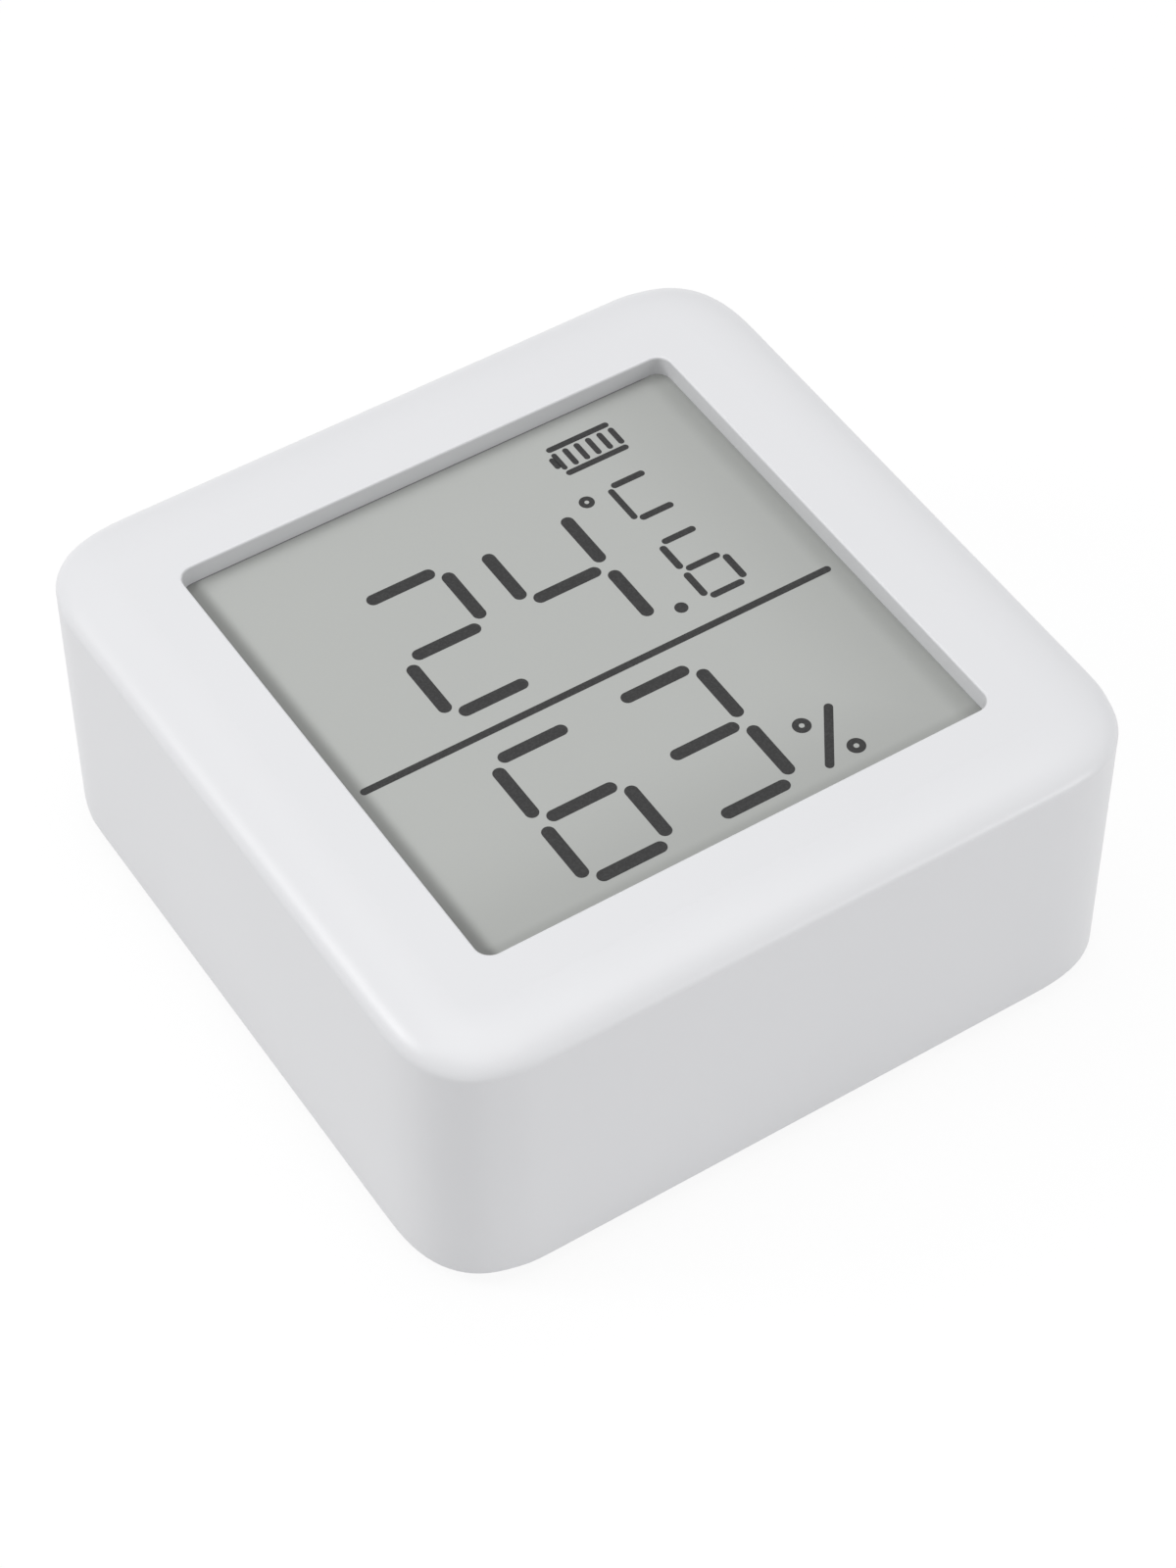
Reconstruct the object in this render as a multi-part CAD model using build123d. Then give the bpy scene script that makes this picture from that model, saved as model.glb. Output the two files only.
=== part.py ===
from build123d import *
from math import cos, radians, sin
import os

os.makedirs("parts", exist_ok=True)

# Lengths are in millimetres. The sensor lies on its back: X runs to the display's right,
# Y to its top and Z out of the display. The origin is the middle of the back cover.

# Case
body_side = 55.0
body_depth = 24.0
rear_step = 1.44
side_wall = 1.6
corner_reach = 8.64
corner_power = 2.85
corner_steps = 6
crown_width = 4.5
crown_drop = 1.79
face_border = 7.8
window_corner = 1.1
window_depth = 1.6
window_edge_break = 0.18
overrun = 1.0
quarter_turn = 90

# Corner columns of the housing and the screws that hold the tray
column_inset = 4.7
column_radius = 1.8
column_web = 1.0
column_hole_depth = 4.6
tray_screw_radius = 0.8
tray_screw_length = 5.2
tray_screw_head_radius = 1.5
tray_screw_head = 1.0
screw_clearance = 0.06

# Ribs under the face that centre the display's carrier
guide_rib = 0.9
guide_rib_height = 1.5
guide_rib_length = 8.0
guide_rib_offset = 10.0
guide_rib_gap = 0.15

# Finger notch in the housing's rim
pry_width = 12.0
pry_height = 1.0

# Display
film_overlap = 0.3
polarizer_thickness = 0.25
glass_overlap = 1.0
glass_thickness = 0.7
contact_ledge = 2.5
glass_gap = 0.1
gasket_gap = 0.1
carrier_wall = 1.0
carrier_floor = 1.2
carrier_foot = 0.9
carrier_foot_wall = 1.4
carrier_corner_gap = 0.35
strip_end = 1.7
strip_width = 1.8
strip_gap = 0.1

# Circuit board
board_inset = 2.3
board_notch = 4.7
board_thickness = 1.0
component_room = 2.4
peg_radius = 0.9
peg_gap = 0.08
peg_side_inset = 7.7
peg_end_inset = 5.7
board_screw_inset = 6.2
board_screw_spread = 9.0
board_screw_radius = 0.6
board_screw_length = 2.6
board_screw_head_radius = 1.3
board_screw_head = 0.7
board_screw_pillar = 2.2

# Sensor, its air duct and the slots round it
sensor_side = 2.5
sensor_height = 0.9
sensor_port_radius = 0.5
sensor_port_depth = 0.4
relief_slot = 0.8
relief_width = 8.4
relief_length = 6.4
duct_width = 10.4
duct_length_share = 0.4
duct_wall = 1.0
duct_seal = 1.2

# Chips on the back of the board: size across, along and in height, and place as shares of
# the board's half side
wireless_chip_shares = (-0.36, 0.12)
wireless_chip_size = (5.0, 5.0, 0.9)
display_driver_shares = (0.28, -0.24)
display_driver_size = (7.0, 7.0, 1.0)
main_crystal_shares = (-0.6, 0.12)
main_crystal_size = (3.2, 2.5, 0.8)
clock_crystal_shares = (-0.36, -0.16)
clock_crystal_size = (3.2, 1.5, 0.8)
chip_antenna_shares = (-0.87, 0.45)
chip_antenna_size = (1.6, 5.0, 1.2)
power_coil_shares = (0.56, 0.2)
power_coil_size = (3.0, 3.0, 1.2)
capacitor_size = (1.6, 0.8, 0.8)
capacitor_shares = (
    (-0.14, 0.12), (-0.36, 0.3), (-0.56, -0.06), (0.04, -0.24), (0.28, 0.02), (0.56, 0.34), (0.6, -0.12),
)
resistor_size = (1.0, 0.5, 0.35)
resistor_shares = (
    (-0.14, 0.02), (-0.14, 0.2), (-0.6, 0.5), (-0.36, -0.28), (0.04, -0.14), (0.04, -0.36), (0.52, -0.36),
)

# Push switch, its stem and the button cap
switch_inset = 12.2
switch_rise = 2.0
switch_side = 5.2
switch_height = 1.1
switch_lead_width = 0.7
switch_lead_reach = 0.6
switch_lead_thickness = 0.2
switch_lead_offset = 1.85
stem_radius = 1.0
stem_length = 1.0
stem_gap = 0.06
stem_end_room = 0.3
stem_stand_out = 0.4
button_radius = 2.4
button_gap = 0.1
button_flange_radius = 3.2
button_flange = 0.6
button_stand_out = 1.2
button_hub_wall = 1.1
button_hub_height = 1.0
button_edge = 0.3

# Battery cells and their bays
cell_nub_share = 0.362
cell_nub_height = 0.8
cell_edge = 0.45
cell_gap = 0.25
cell_rear_gap = 0.05
bay_partition = 1.0
bay_end_room = 3.6
cradle_shares = (-0.77, -0.28, 0.28, 0.77)
cradle_rib = 1.0

# Battery tray
tray_gap = 0.3
tray_wall = 1.0
tray_floor = 1.1
tray_rear = 3.1
screw_well_radius = 2.1
tray_post_radius = 1.2
tray_post_inset = 3.2
tray_post_rise = 1.5
tray_post_spread = 9.0

# Battery contacts
contact_thickness = 0.4
contact_edge = 1.25
contact_dimple = 0.4
contact_dimple_radius = 1.5
contact_tab = 2.0
contact_tab_gap = 0.2
contact_tab_stand_out = 0.5
contact_rail = 0.8
contact_rail_reach = 1.2
contact_rail_gap = 0.1
spring_wire = 0.5
spring_wire_sides = 8
spring_length = 3.5
spring_base_share = 0.57
spring_turns = 3
spring_cone = 16.0

# Back cover
cover_inset = 2.0
cover_plate = 1.6
cover_edge = 0.5
cover_gap = 0.3
skirt_inset = 0.9
skirt_wall = 1.0
latch_width = 9.0
latch_thickness = 1.0
latch_inset = 0.3
latch_height = 5.4
latch_bead = 0.35
latch_bead_height = 0.9
latch_bead_level = 4.1
latch_side_gap = 0.5
latch_back_gap = 0.4
catch_depth = 0.5
catch_gap = 0.3
latch_end_inset = 9.5
vent_count = 5
vent_pitch = 2.1
vent_slot = 1.1
vent_length = 7.6
mesh_margin = 0.3
mesh_thickness = 0.3
collar_wall = 0.8
collar_gap = 0.2
magnet_side_inset = 8.0
magnet_top_inset = 11.5
magnet_radius = 4.0
magnet_thickness = 1.5
magnet_gap = 0.1
magnet_skin = 0.8
magnet_collar = 1.0

# Folding stand
stand_width = 24.0
stand_end_inset = 2.5
stand_thickness = 1.5
stand_recess = 0.2
stand_corner = 2.5
stand_gap = 0.3
hinge_offset = -3.0
hinge_pin_radius = 0.55
hinge_pin_length = 1.3
hinge_pin_gap = 0.05
hinge_end_gap = 0.3
stand_panel_depth = 0.5
stand_panel_margin = 2.4
stand_rib = 1.2
stand_grip = 0.6
pocket_floor = 0.8
pocket_wall = 1.3
pocket_side_wall = 2.4
finger_width = 10.0
finger_depth = 1.4

# Levels along Z that follow from the sizes above
rim_level = rear_step
display_level = body_depth - window_depth
front_glass_level = display_level - polarizer_thickness
rear_glass_level = front_glass_level - glass_thickness
rear_film_level = rear_glass_level - glass_thickness
carrier_floor_level = rear_film_level - polarizer_thickness
carrier_base_level = carrier_floor_level - carrier_floor
board_front = carrier_base_level - carrier_foot
board_back = board_front - board_thickness
tray_front = board_back - component_room
tray_back = tray_front - tray_floor
cell_radius = (tray_back - tray_rear - cell_gap - cell_rear_gap) / 2
cell_level = tray_back - cell_gap - cell_radius
cover_inner = tray_rear - cover_gap
hinge_level = stand_recess + stand_thickness / 2

# Distances across that follow from them: the cells come out at 10.5 by 44.5
inner_half = body_side / 2 - side_wall
window_side = body_side - 2 * face_border
polarizer_side = window_side + 2 * film_overlap
glass_side = window_side + 2 * glass_overlap
glass_half = glass_side / 2
ledge_edge = glass_half + contact_ledge
strip_length = glass_side - 2 * strip_end
carrier_half = glass_half + glass_gap + carrier_wall
carrier_end = ledge_edge + glass_gap + carrier_wall
column_offset = body_side / 2 - column_inset
board_half = body_side / 2 - board_inset
tray_half = inner_half - tray_gap
bay_half = tray_half - tray_wall
bay_width = 2 * (cell_radius + cell_gap)
lower_cell = bay_end_room + tray_wall + bay_width / 2 - bay_half
upper_cell = lower_cell + bay_width + bay_partition
chamber_start = upper_cell + bay_width / 2 + tray_wall
chamber_length = bay_half - chamber_start
cell_length = 2 * (bay_half - contact_thickness) - spring_length - contact_dimple
cell_front = bay_half - contact_thickness - contact_dimple
contact_height = 2 * (cell_radius - contact_edge)
spring_base_radius = spring_base_share * cell_radius
duct_length = duct_length_share * chamber_length
cover_half = body_side / 2 - cover_inset
stand_length = cover_half + hinge_offset - stand_end_inset

# Places on the board and the cover that follow from them
sensor_spot = (0, chamber_start + chamber_length / 2)
switch_spot = (board_half - switch_inset, sensor_spot[1] + switch_rise)
peg_across = board_half - peg_side_inset
peg_along = board_half - peg_end_inset
peg_spots = ((-peg_across, peg_along), (peg_across, -peg_along))
board_screw_across = board_half - board_screw_inset
board_screw_spots = tuple(
    (x * board_screw_across, y * board_screw_spread) for x in (-1, 1) for y in (-1, 1)
)
tray_post_reach = board_half - tray_post_inset
tray_post_spots = (
    (-tray_post_reach, tray_post_rise),
    (tray_post_reach, tray_post_rise),
    (-tray_post_spread, -tray_post_reach),
    (tray_post_spread, -tray_post_reach),
)
latch_end = cover_half - latch_end_inset
magnet_across = cover_half - magnet_side_inset
magnet_along = cover_half - magnet_top_inset
magnet_spots = ((-magnet_across, magnet_along), (magnet_across, magnet_along))


def box_between(low, high):
    """Block with one corner at low and the opposite one at high."""
    sizes = [end - start for start, end in zip(low, high)]
    middles = [(end + start) / 2 for start, end in zip(low, high)]
    return Pos(*middles) * Box(*sizes)


def block_on(spot, width, length, low, high):
    """Upright block centred on a spot, between two levels."""
    return Pos(spot[0], spot[1], (low + high) / 2) * Box(width, length, high - low)


def post_on(spot, radius, low, high):
    """Upright round post centred on a spot, between two levels."""
    return Pos(spot[0], spot[1], (low + high) / 2) * Cylinder(radius, high - low)


def bar_along_x(radius, start, end, across, level):
    """Round bar that lies along X."""
    bar = Cylinder(radius, end - start)
    return Pos((start + end) / 2, across, level) * Rot(0, quarter_turn, 0) * bar


def case_outline(side, reach):
    """Square outline whose corners bend as a superellipse, with no sudden change of curve."""
    straight = side / 2 - reach
    share = 2 / corner_power
    curve = []
    for step in range(corner_steps + 1):
        angle = radians(quarter_turn * step / corner_steps)
        across = abs(cos(angle)) ** share if step < corner_steps else 0
        curve.append((straight + reach * across, straight + reach * sin(angle) ** share))
    edges = []
    for quarter in range(4):
        turn = Rot(0, 0, quarter_turn * quarter)
        edges.append(turn * Spline(*curve, tangents=((0, 1), (-1, 0))))
        edges.append(turn * Line((straight, side / 2), (-straight, side / 2)))
    return Wire([edge for group in edges for edge in group.edges()])


def case_block(side, reach, low, high):
    """Prism on the case's outline, between two levels."""
    return extrude(Pos(0, 0, low) * Face(case_outline(side, reach)), high - low)


def inset_block(inset, low, high):
    """Prism whose outline stands a distance inside the case's own outline."""
    return case_block(body_side - 2 * inset, corner_reach - inset, low, high)


def crown_cutter():
    """What the elliptical rounding takes off all round the edge of the face."""
    half = body_side / 2
    shoulder = body_depth - crown_drop
    profile = Polyline(
        (half, shoulder),
        (half + overrun, shoulder),
        (half + overrun, body_depth + overrun),
        (half - crown_width, body_depth + overrun),
        (half - crown_width, body_depth),
    )
    curve = EllipticalCenterArc(
        (half - crown_width, shoulder), crown_width, crown_drop, start_angle=0, arc_size=quarter_turn
    )
    section = Plane.XZ * make_face(profile + curve)
    return sweep(section, path=Pos(0, 0, shoulder) * case_outline(body_side, corner_reach))


def latch_places():
    """Spot along X of each latch, and the side of the cover that it is on."""
    return [(0, 1), (-latch_end, -1), (latch_end, -1)]


def latch_block(spot, side, width, near, far, low, high):
    """Block that spans a latch's width, from near to far from the middle on its side."""
    return block_on((spot, side * (near + far) / 2), width, far - near, low, high)


def column_spots():
    """The four places of the corner columns."""
    return [(x * column_offset, y * column_offset) for x in (-1, 1) for y in (-1, 1)]


def make_front_housing():
    """Deep moulded shell with the crowned face, the window, columns, guide ribs and catches."""
    shell = inset_block(0, rim_level, body_depth) - crown_cutter()
    shell -= inset_block(side_wall, rim_level - overrun, display_level)
    opening = RectangleRounded(window_side, window_side, window_corner)
    window = Pos(0, 0, display_level - overrun) * extrude(opening, window_depth + 2 * overrun)
    shell -= window
    reach = window_side / 2 + window_edge_break
    face_edges = shell.edges().group_by(Axis.Z)[-1]
    rim = [edge for edge in face_edges if max(abs(edge.center().X), abs(edge.center().Y)) < reach]
    shell = fillet(rim, window_edge_break)
    for x, y in column_spots():
        shell += post_on((x, y), column_radius, tray_front, display_level)
        to_side = inner_half - column_offset + side_wall / 2
        shift = to_side / 2
        for spot, width, length in (
            ((x + shift * x / column_offset, y), to_side, column_web),
            ((x, y + shift * y / column_offset), column_web, to_side),
        ):
            shell += block_on(spot, width, length, tray_front, display_level)
        hole = tray_screw_radius + screw_clearance
        shell -= post_on((x, y), hole, tray_front, tray_front + column_hole_depth)
    rib_low = display_level - guide_rib_height
    side_rib = carrier_half + guide_rib_gap + guide_rib / 2
    end_rib = carrier_end + guide_rib_gap + guide_rib / 2
    for offset in (-guide_rib_offset, guide_rib_offset):
        for across in (-side_rib, side_rib):
            shell += block_on((across, offset), guide_rib, guide_rib_length, rib_low, display_level)
        for along in (-end_rib, side_rib):
            shell += block_on((offset, along), guide_rib_length, guide_rib, rib_low, display_level)
    bead_low = cover_plate + latch_bead_level
    for spot, side in latch_places():
        shell -= latch_block(
            spot, side, latch_width + 2 * latch_side_gap, inner_half - overrun, inner_half + catch_depth,
            bead_low - catch_gap, bead_low + latch_bead_height + catch_gap,
        )
    shell -= box_between(
        (-pry_width / 2, inner_half - overrun, rim_level - overrun),
        (pry_width / 2, body_side / 2 + overrun, rim_level + pry_height),
    )
    return shell


def make_display_gasket():
    """Foam frame between the glass and the face, round the front film."""
    low, high = front_glass_level, display_level
    frame = box_between((-glass_half, -ledge_edge, low), (glass_half, glass_half, high))
    hole = polarizer_side + 2 * gasket_gap
    return frame - block_on((0, 0), hole, hole, low - overrun, high + overrun)


def make_film(top):
    """One of the display's two polarizing films, under the level of its front side."""
    return block_on((0, 0), polarizer_side, polarizer_side, top - polarizer_thickness, top)


def make_front_glass():
    """Front glass, longer than the rear one by the ledge that carries its contacts."""
    low = front_glass_level - glass_thickness
    return box_between((-glass_half, -ledge_edge, low), (glass_half, glass_half, front_glass_level))


def make_rear_glass():
    """Rear glass of the display."""
    return block_on((0, 0), glass_side, glass_side, rear_glass_level - glass_thickness, rear_glass_level)


def strip_middle():
    """Spot of the contact strip, midway on the front glass's ledge."""
    return (0, -(glass_half + contact_ledge / 2))


def make_contact_strip():
    """Elastomer strip that joins the glass's contacts to the board."""
    return block_on(strip_middle(), strip_length, strip_width, board_front, rear_glass_level)


def make_display_carrier():
    """Frame that holds the display's glass in front of the board."""
    frame = box_between(
        (-carrier_half, -carrier_end, board_front), (carrier_half, carrier_half, display_level)
    )
    reach = glass_half + glass_gap
    top = display_level + overrun
    frame -= box_between((-reach, -reach, carrier_floor_level), (reach, reach, top))
    frame -= box_between((-reach, -ledge_edge - glass_gap, rear_glass_level), (reach, reach, top))
    hollow = box_between(
        (-carrier_half + carrier_foot_wall, strip_middle()[1] + strip_width, board_front - overrun),
        (carrier_half - carrier_foot_wall, carrier_half - carrier_foot_wall, carrier_base_level),
    )
    for spot in board_screw_spots + peg_spots:
        hollow -= post_on(spot, board_screw_pillar, board_front - overrun, carrier_base_level)
    frame -= hollow
    frame -= block_on(
        strip_middle(), strip_length + 2 * strip_gap, strip_width + 2 * strip_gap, board_front - overrun, top
    )
    for spot in peg_spots:
        frame += post_on(spot, peg_radius, board_back, carrier_base_level)
    for spot in board_screw_spots:
        hole = board_screw_radius + screw_clearance
        frame -= post_on(spot, hole, board_front - overrun, board_back + board_screw_length)
    for spot in column_spots():
        frame -= post_on(spot, column_radius + carrier_corner_gap, board_front - overrun, top)
    return frame


def make_main_board():
    """Circuit board with cut corners, slots for the battery tabs and relief slots at the sensor."""
    board = block_on((0, 0), 2 * board_half, 2 * board_half, board_back, board_front)
    low, high = board_back - overrun, board_front + overrun
    notch = 2 * board_notch
    for x in (-1, 1):
        for y in (-1, 1):
            corner = (x * board_half, y * board_half)
            board -= block_on(corner, notch, notch, low, high)
    for spot in peg_spots:
        board -= post_on(spot, peg_radius + peg_gap, low, high)
    for spot in board_screw_spots:
        board -= post_on(spot, board_screw_radius + screw_clearance, low, high)
    for along in (upper_cell, lower_cell):
        board -= tab_slot(along, low, high)
    x, y = sensor_spot
    for side in (-1, 1):
        spot = (x + side * (relief_width - relief_slot) / 2, y)
        board -= block_on(spot, relief_slot, relief_length, low, high)
    spot = (x, y - (relief_length - relief_slot) / 2)
    return board - block_on(spot, relief_width, relief_slot, low, high)


def tab_slot(along, low, high):
    """Slot that a battery contact's tab passes through."""
    middle = bay_half - contact_thickness / 2
    width = contact_thickness + 2 * contact_tab_gap
    return block_on((middle, along), width, contact_tab + 2 * contact_tab_gap, low, high)


def make_chip(shares, size):
    """Plain chip on the back of the board."""
    width, length, height = size
    spot = [share * board_half for share in shares]
    return block_on(spot, width, length, board_back - height, board_back)


def make_small_chips(places, size):
    """A set of equal small chips on the back of the board."""
    return Compound([make_chip(shares, size) for shares in places])


def make_humidity_sensor():
    """Sensor chip with its round air port facing the duct."""
    low = board_back - sensor_height
    chip = block_on(sensor_spot, sensor_side, sensor_side, low, board_back)
    return chip - post_on(sensor_spot, sensor_port_radius, low - overrun, low + sensor_port_depth)


def duct_frame(grow, low, high):
    """Block over the air duct's inside, grown by a distance on each side."""
    return block_on(sensor_spot, duct_width + 2 * grow, duct_length + 2 * grow, low, high)


def make_sensor_seal():
    """Foam ring that closes the duct against the board."""
    low, high = board_back - duct_seal, board_back
    return duct_frame(duct_wall, low, high) - duct_frame(0, low - overrun, high + overrun)


def make_push_switch():
    """Body of the push switch with its four leads."""
    low = board_back - switch_height
    body = block_on(switch_spot, switch_side, switch_side, low, board_back)
    x, y = switch_spot
    reach = switch_side + 2 * switch_lead_reach
    for side in (-1, 1):
        spot = (x, y + side * switch_lead_offset)
        body += block_on(spot, reach, switch_lead_width, board_back - switch_lead_thickness, board_back)
    bore_end = low - stem_stand_out + stem_length + stem_end_room
    return body - post_on(switch_spot, stem_radius + stem_gap, low - overrun, bore_end)


def stem_level():
    """Level of the end of the stem that the button touches."""
    return board_back - switch_height - stem_stand_out


def make_switch_stem():
    """Stem that the button pushes into the switch."""
    return post_on(switch_spot, stem_radius, stem_level(), stem_level() + stem_length)


def make_button_cap():
    """Button cap with the flange that keeps it in the tray."""
    flange_low = stem_level() - button_flange
    end = tray_back - button_hub_height - button_stand_out
    cap = post_on(switch_spot, button_radius, end, stem_level())
    cap += post_on(switch_spot, button_flange_radius, flange_low, stem_level())
    return fillet(cap.edges().group_by(Axis.Z)[0], button_edge)


def bay_block(along):
    """Space of one battery bay."""
    half = bay_width / 2
    return box_between((-bay_half, along - half, tray_rear - overrun), (bay_half, along + half, tray_back))


def make_battery_tray():
    """Tray with two battery bays, the air duct, the button's guide and posts for the board."""
    tray = inset_block(side_wall + tray_gap, tray_rear, tray_front)
    inside = inset_block(side_wall + tray_gap + tray_wall, tray_rear - overrun, tray_back)
    bays = [bay_block(upper_cell), bay_block(lower_cell)]
    low = tray_rear - overrun
    spaces = [
        box_between((-bay_half, chamber_start, low), (bay_half, bay_half, tray_back)),
        box_between((-bay_half, -bay_half, low), (bay_half, bay_end_room - bay_half, tray_back)),
    ]
    for space in bays + spaces:
        tray -= space & inside
    for along in (upper_cell, lower_cell):
        bar = bar_along_x(cell_radius + cell_gap, -bay_half, bay_half, along, cell_level)
        for share in cradle_shares:
            spot = (share * bay_half, along)
            tray += block_on(spot, cradle_rib, bay_width, cell_level, tray_back) - bar
    tray = add_contact_rails(tray)
    tray -= box_between(
        (-bay_half, lower_cell, low),
        (contact_rail_reach - bay_half, upper_cell, cell_level + contact_height / 2 + contact_rail_gap),
    )
    tray += duct_frame(duct_wall, tray_rear, board_back - duct_seal)
    tray -= duct_frame(0, low, board_back)
    guide = button_radius + button_gap
    tray += post_on(switch_spot, guide + button_hub_wall, tray_back - button_hub_height, tray_back)
    tray -= post_on(switch_spot, guide, low, board_back)
    for spot in tray_post_spots:
        tray += post_on(spot, tray_post_radius, tray_front, board_back)
    for spot in column_spots():
        tray -= post_on(spot, screw_well_radius, low, tray_back)
        tray -= post_on(spot, tray_screw_radius + screw_clearance, low, tray_front + overrun)
    for along in (upper_cell, lower_cell):
        tray -= tab_slot(along, tray_back - overrun, tray_front + overrun)
    high = cover_plate + latch_height + latch_back_gap
    near = cover_half - latch_inset - latch_thickness - latch_back_gap
    for spot, side in latch_places():
        width = latch_width + 2 * latch_side_gap
        tray -= latch_block(spot, side, width, near, tray_half + overrun, low, high)
    return tray


def contact_span(along):
    """Lowest and highest Y of the contact plate behind one cell."""
    return along - contact_height / 2, along + contact_height / 2


def add_contact_rails(tray):
    """Rails that hold the contact plates against the end walls."""
    low, high = cell_level - contact_height / 2, tray_back
    lower_span, upper_span = contact_span(lower_cell), contact_span(upper_cell)
    right_edges = [(lower_span[0], -1), (lower_span[1], 1), (upper_span[0], -1), (upper_span[1], 1)]
    left_edges = [(lower_span[0], -1), (upper_span[1], 1)]
    for end, edges in ((1, right_edges), (-1, left_edges)):
        for edge, side in edges:
            along = edge + side * (contact_rail_gap + contact_rail / 2)
            spot = (end * (bay_half - contact_rail_reach / 2), along)
            tray += block_on(spot, contact_rail_reach, contact_rail, low, high)
    return tray


def contact_plate(end, start_y, end_y):
    """Flat contact plate against an end wall of the bays."""
    middle = end * (bay_half - contact_thickness / 2)
    low, high = cell_level - contact_height / 2, cell_level + contact_height / 2
    spot = (middle, (start_y + end_y) / 2)
    return block_on(spot, contact_thickness, end_y - start_y, low, high)


def contact_dimple_at(end, along):
    """Raised dimple that a cell's positive end presses on."""
    face = end * (bay_half - contact_thickness)
    tip = end * (bay_half - contact_thickness - contact_dimple)
    return bar_along_x(contact_dimple_radius, min(face, tip), max(face, tip), along, cell_level)


def solder_tab(along):
    """Tab that runs from a contact plate through the tray and the board."""
    spot = (bay_half - contact_thickness / 2, along)
    return block_on(spot, contact_thickness, contact_tab, cell_level, board_front + contact_tab_stand_out)


def make_positive_contact():
    """Contact with a dimple for the upper cell, and a tab to the board."""
    plate = contact_plate(1, *contact_span(upper_cell)) + contact_dimple_at(1, upper_cell)
    return plate + solder_tab(upper_cell)


def make_negative_contact():
    """Contact that carries the lower cell's spring, and a tab to the board."""
    return contact_plate(1, *contact_span(lower_cell)) + solder_tab(lower_cell)


def make_bridge_contact():
    """Contact that joins the two cells, with a dimple for the lower one."""
    plate = contact_plate(-1, contact_span(lower_cell)[0], contact_span(upper_cell)[1])
    return plate + contact_dimple_at(-1, lower_cell)


def coil_spring():
    """Conical spring that stands on the XY plane and narrows towards its free end."""
    height = spring_length - spring_wire
    path = Helix(
        pitch=height / spring_turns,
        height=height,
        radius=spring_base_radius,
        cone_angle=-spring_cone,
    )
    start = Plane(origin=path @ 0, x_dir=(1, 0, 0), z_dir=path % 0)
    section = start * RegularPolygon(spring_wire / 2, spring_wire_sides)
    return Pos(0, 0, spring_wire / 2) * sweep(section, path=path, is_frenet=True)


def make_contact_springs():
    """Springs that press on the cells' negative ends."""
    reach = bay_half - contact_thickness
    left = Pos(-reach, upper_cell, cell_level) * Rot(0, quarter_turn, 0) * coil_spring()
    right = Pos(reach, lower_cell, cell_level) * Rot(0, -quarter_turn, 0) * coil_spring()
    return Compound([left, right])


def make_cell(along, end):
    """Battery cell whose positive nub points to one end of its bay."""
    can_front = cell_front - cell_nub_height
    can = Cylinder(cell_radius, cell_length - cell_nub_height)
    can = fillet(can.edges().filter_by(GeomType.CIRCLE), cell_edge)
    middle = can_front - (cell_length - cell_nub_height) / 2
    cell = Pos(0, 0, middle) * can
    cell += post_on((0, 0), cell_nub_share * cell_radius, can_front, cell_front)
    return Pos(0, along, cell_level) * Rot(0, end * quarter_turn, 0) * cell


def screw_at(spot, seat, shank_radius, length, head_radius, head):
    """Screw driven towards the face, with its head's underside at the seat level."""
    shank = post_on(spot, shank_radius, seat, seat + length)
    return shank + post_on(spot, head_radius, seat - head, seat)


def make_board_screws():
    """Small screws that hold the board to the display's carrier."""
    return Compound([
        screw_at(
            spot, board_back, board_screw_radius, board_screw_length - screw_clearance,
            board_screw_head_radius, board_screw_head,
        )
        for spot in board_screw_spots
    ])


def make_tray_screws():
    """Screws that hold the tray to the housing's columns."""
    return Compound([
        screw_at(
            spot, tray_back, tray_screw_radius, tray_screw_length, tray_screw_head_radius, tray_screw_head
        )
        for spot in column_spots()
    ])


def stand_pocket(low, high):
    """Space that the folded stand lies in."""
    across = stand_width / 2 + stand_gap
    near = hinge_offset + stand_thickness / 2 + stand_gap
    far = hinge_offset - stand_length - stand_gap
    return box_between((-across, far, low), (across, near, high))


def make_back_cover():
    """Lift-off cover with its skirt, latches, stand pocket, air slots and magnet seats."""
    plate = inset_block(cover_inset, 0, cover_plate)
    cover = fillet(plate.edges().group_by(Axis.Z)[0], cover_edge)
    outer = cover_inset + skirt_inset
    skirt = inset_block(outer, cover_plate, cover_inner)
    cover += skirt - inset_block(outer + skirt_wall, 0, cover_inner + overrun)
    pocket_depth = cover_inner - pocket_floor
    across = stand_width / 2 + pocket_side_wall
    near = hinge_offset + stand_thickness / 2 + stand_gap + pocket_wall
    far = hinge_offset - stand_length - stand_gap - pocket_wall
    cover += box_between((-across, far, cover_plate), (across, near, cover_inner))
    cover -= stand_pocket(-overrun, pocket_depth)
    socket_end = stand_width / 2 + hinge_pin_length + hinge_end_gap
    socket = hinge_pin_radius + hinge_pin_gap
    cover -= bar_along_x(socket, -socket_end, socket_end, hinge_offset, hinge_level)
    finger_far = -cover_half - overrun
    finger_near = hinge_offset - stand_length
    cover -= box_between(
        (-finger_width / 2, finger_far, -overrun), (finger_width / 2, finger_near, finger_depth)
    )
    cover += vent_collar()
    for slot in range(vent_count):
        shift = (slot - (vent_count - 1) / 2) * vent_pitch
        spot = (sensor_spot[0] + shift, sensor_spot[1])
        cover -= block_on(spot, vent_slot, vent_length, -overrun, cover_plate + overrun)
    for spot in magnet_spots:
        hole = magnet_radius + magnet_gap
        cover += post_on(spot, hole + magnet_collar, cover_plate, cover_inner)
        cover -= post_on(spot, hole, magnet_skin, cover_inner + overrun)
    for spot, side in latch_places():
        cover += latch_tongue(spot, side)
    return cover


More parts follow.
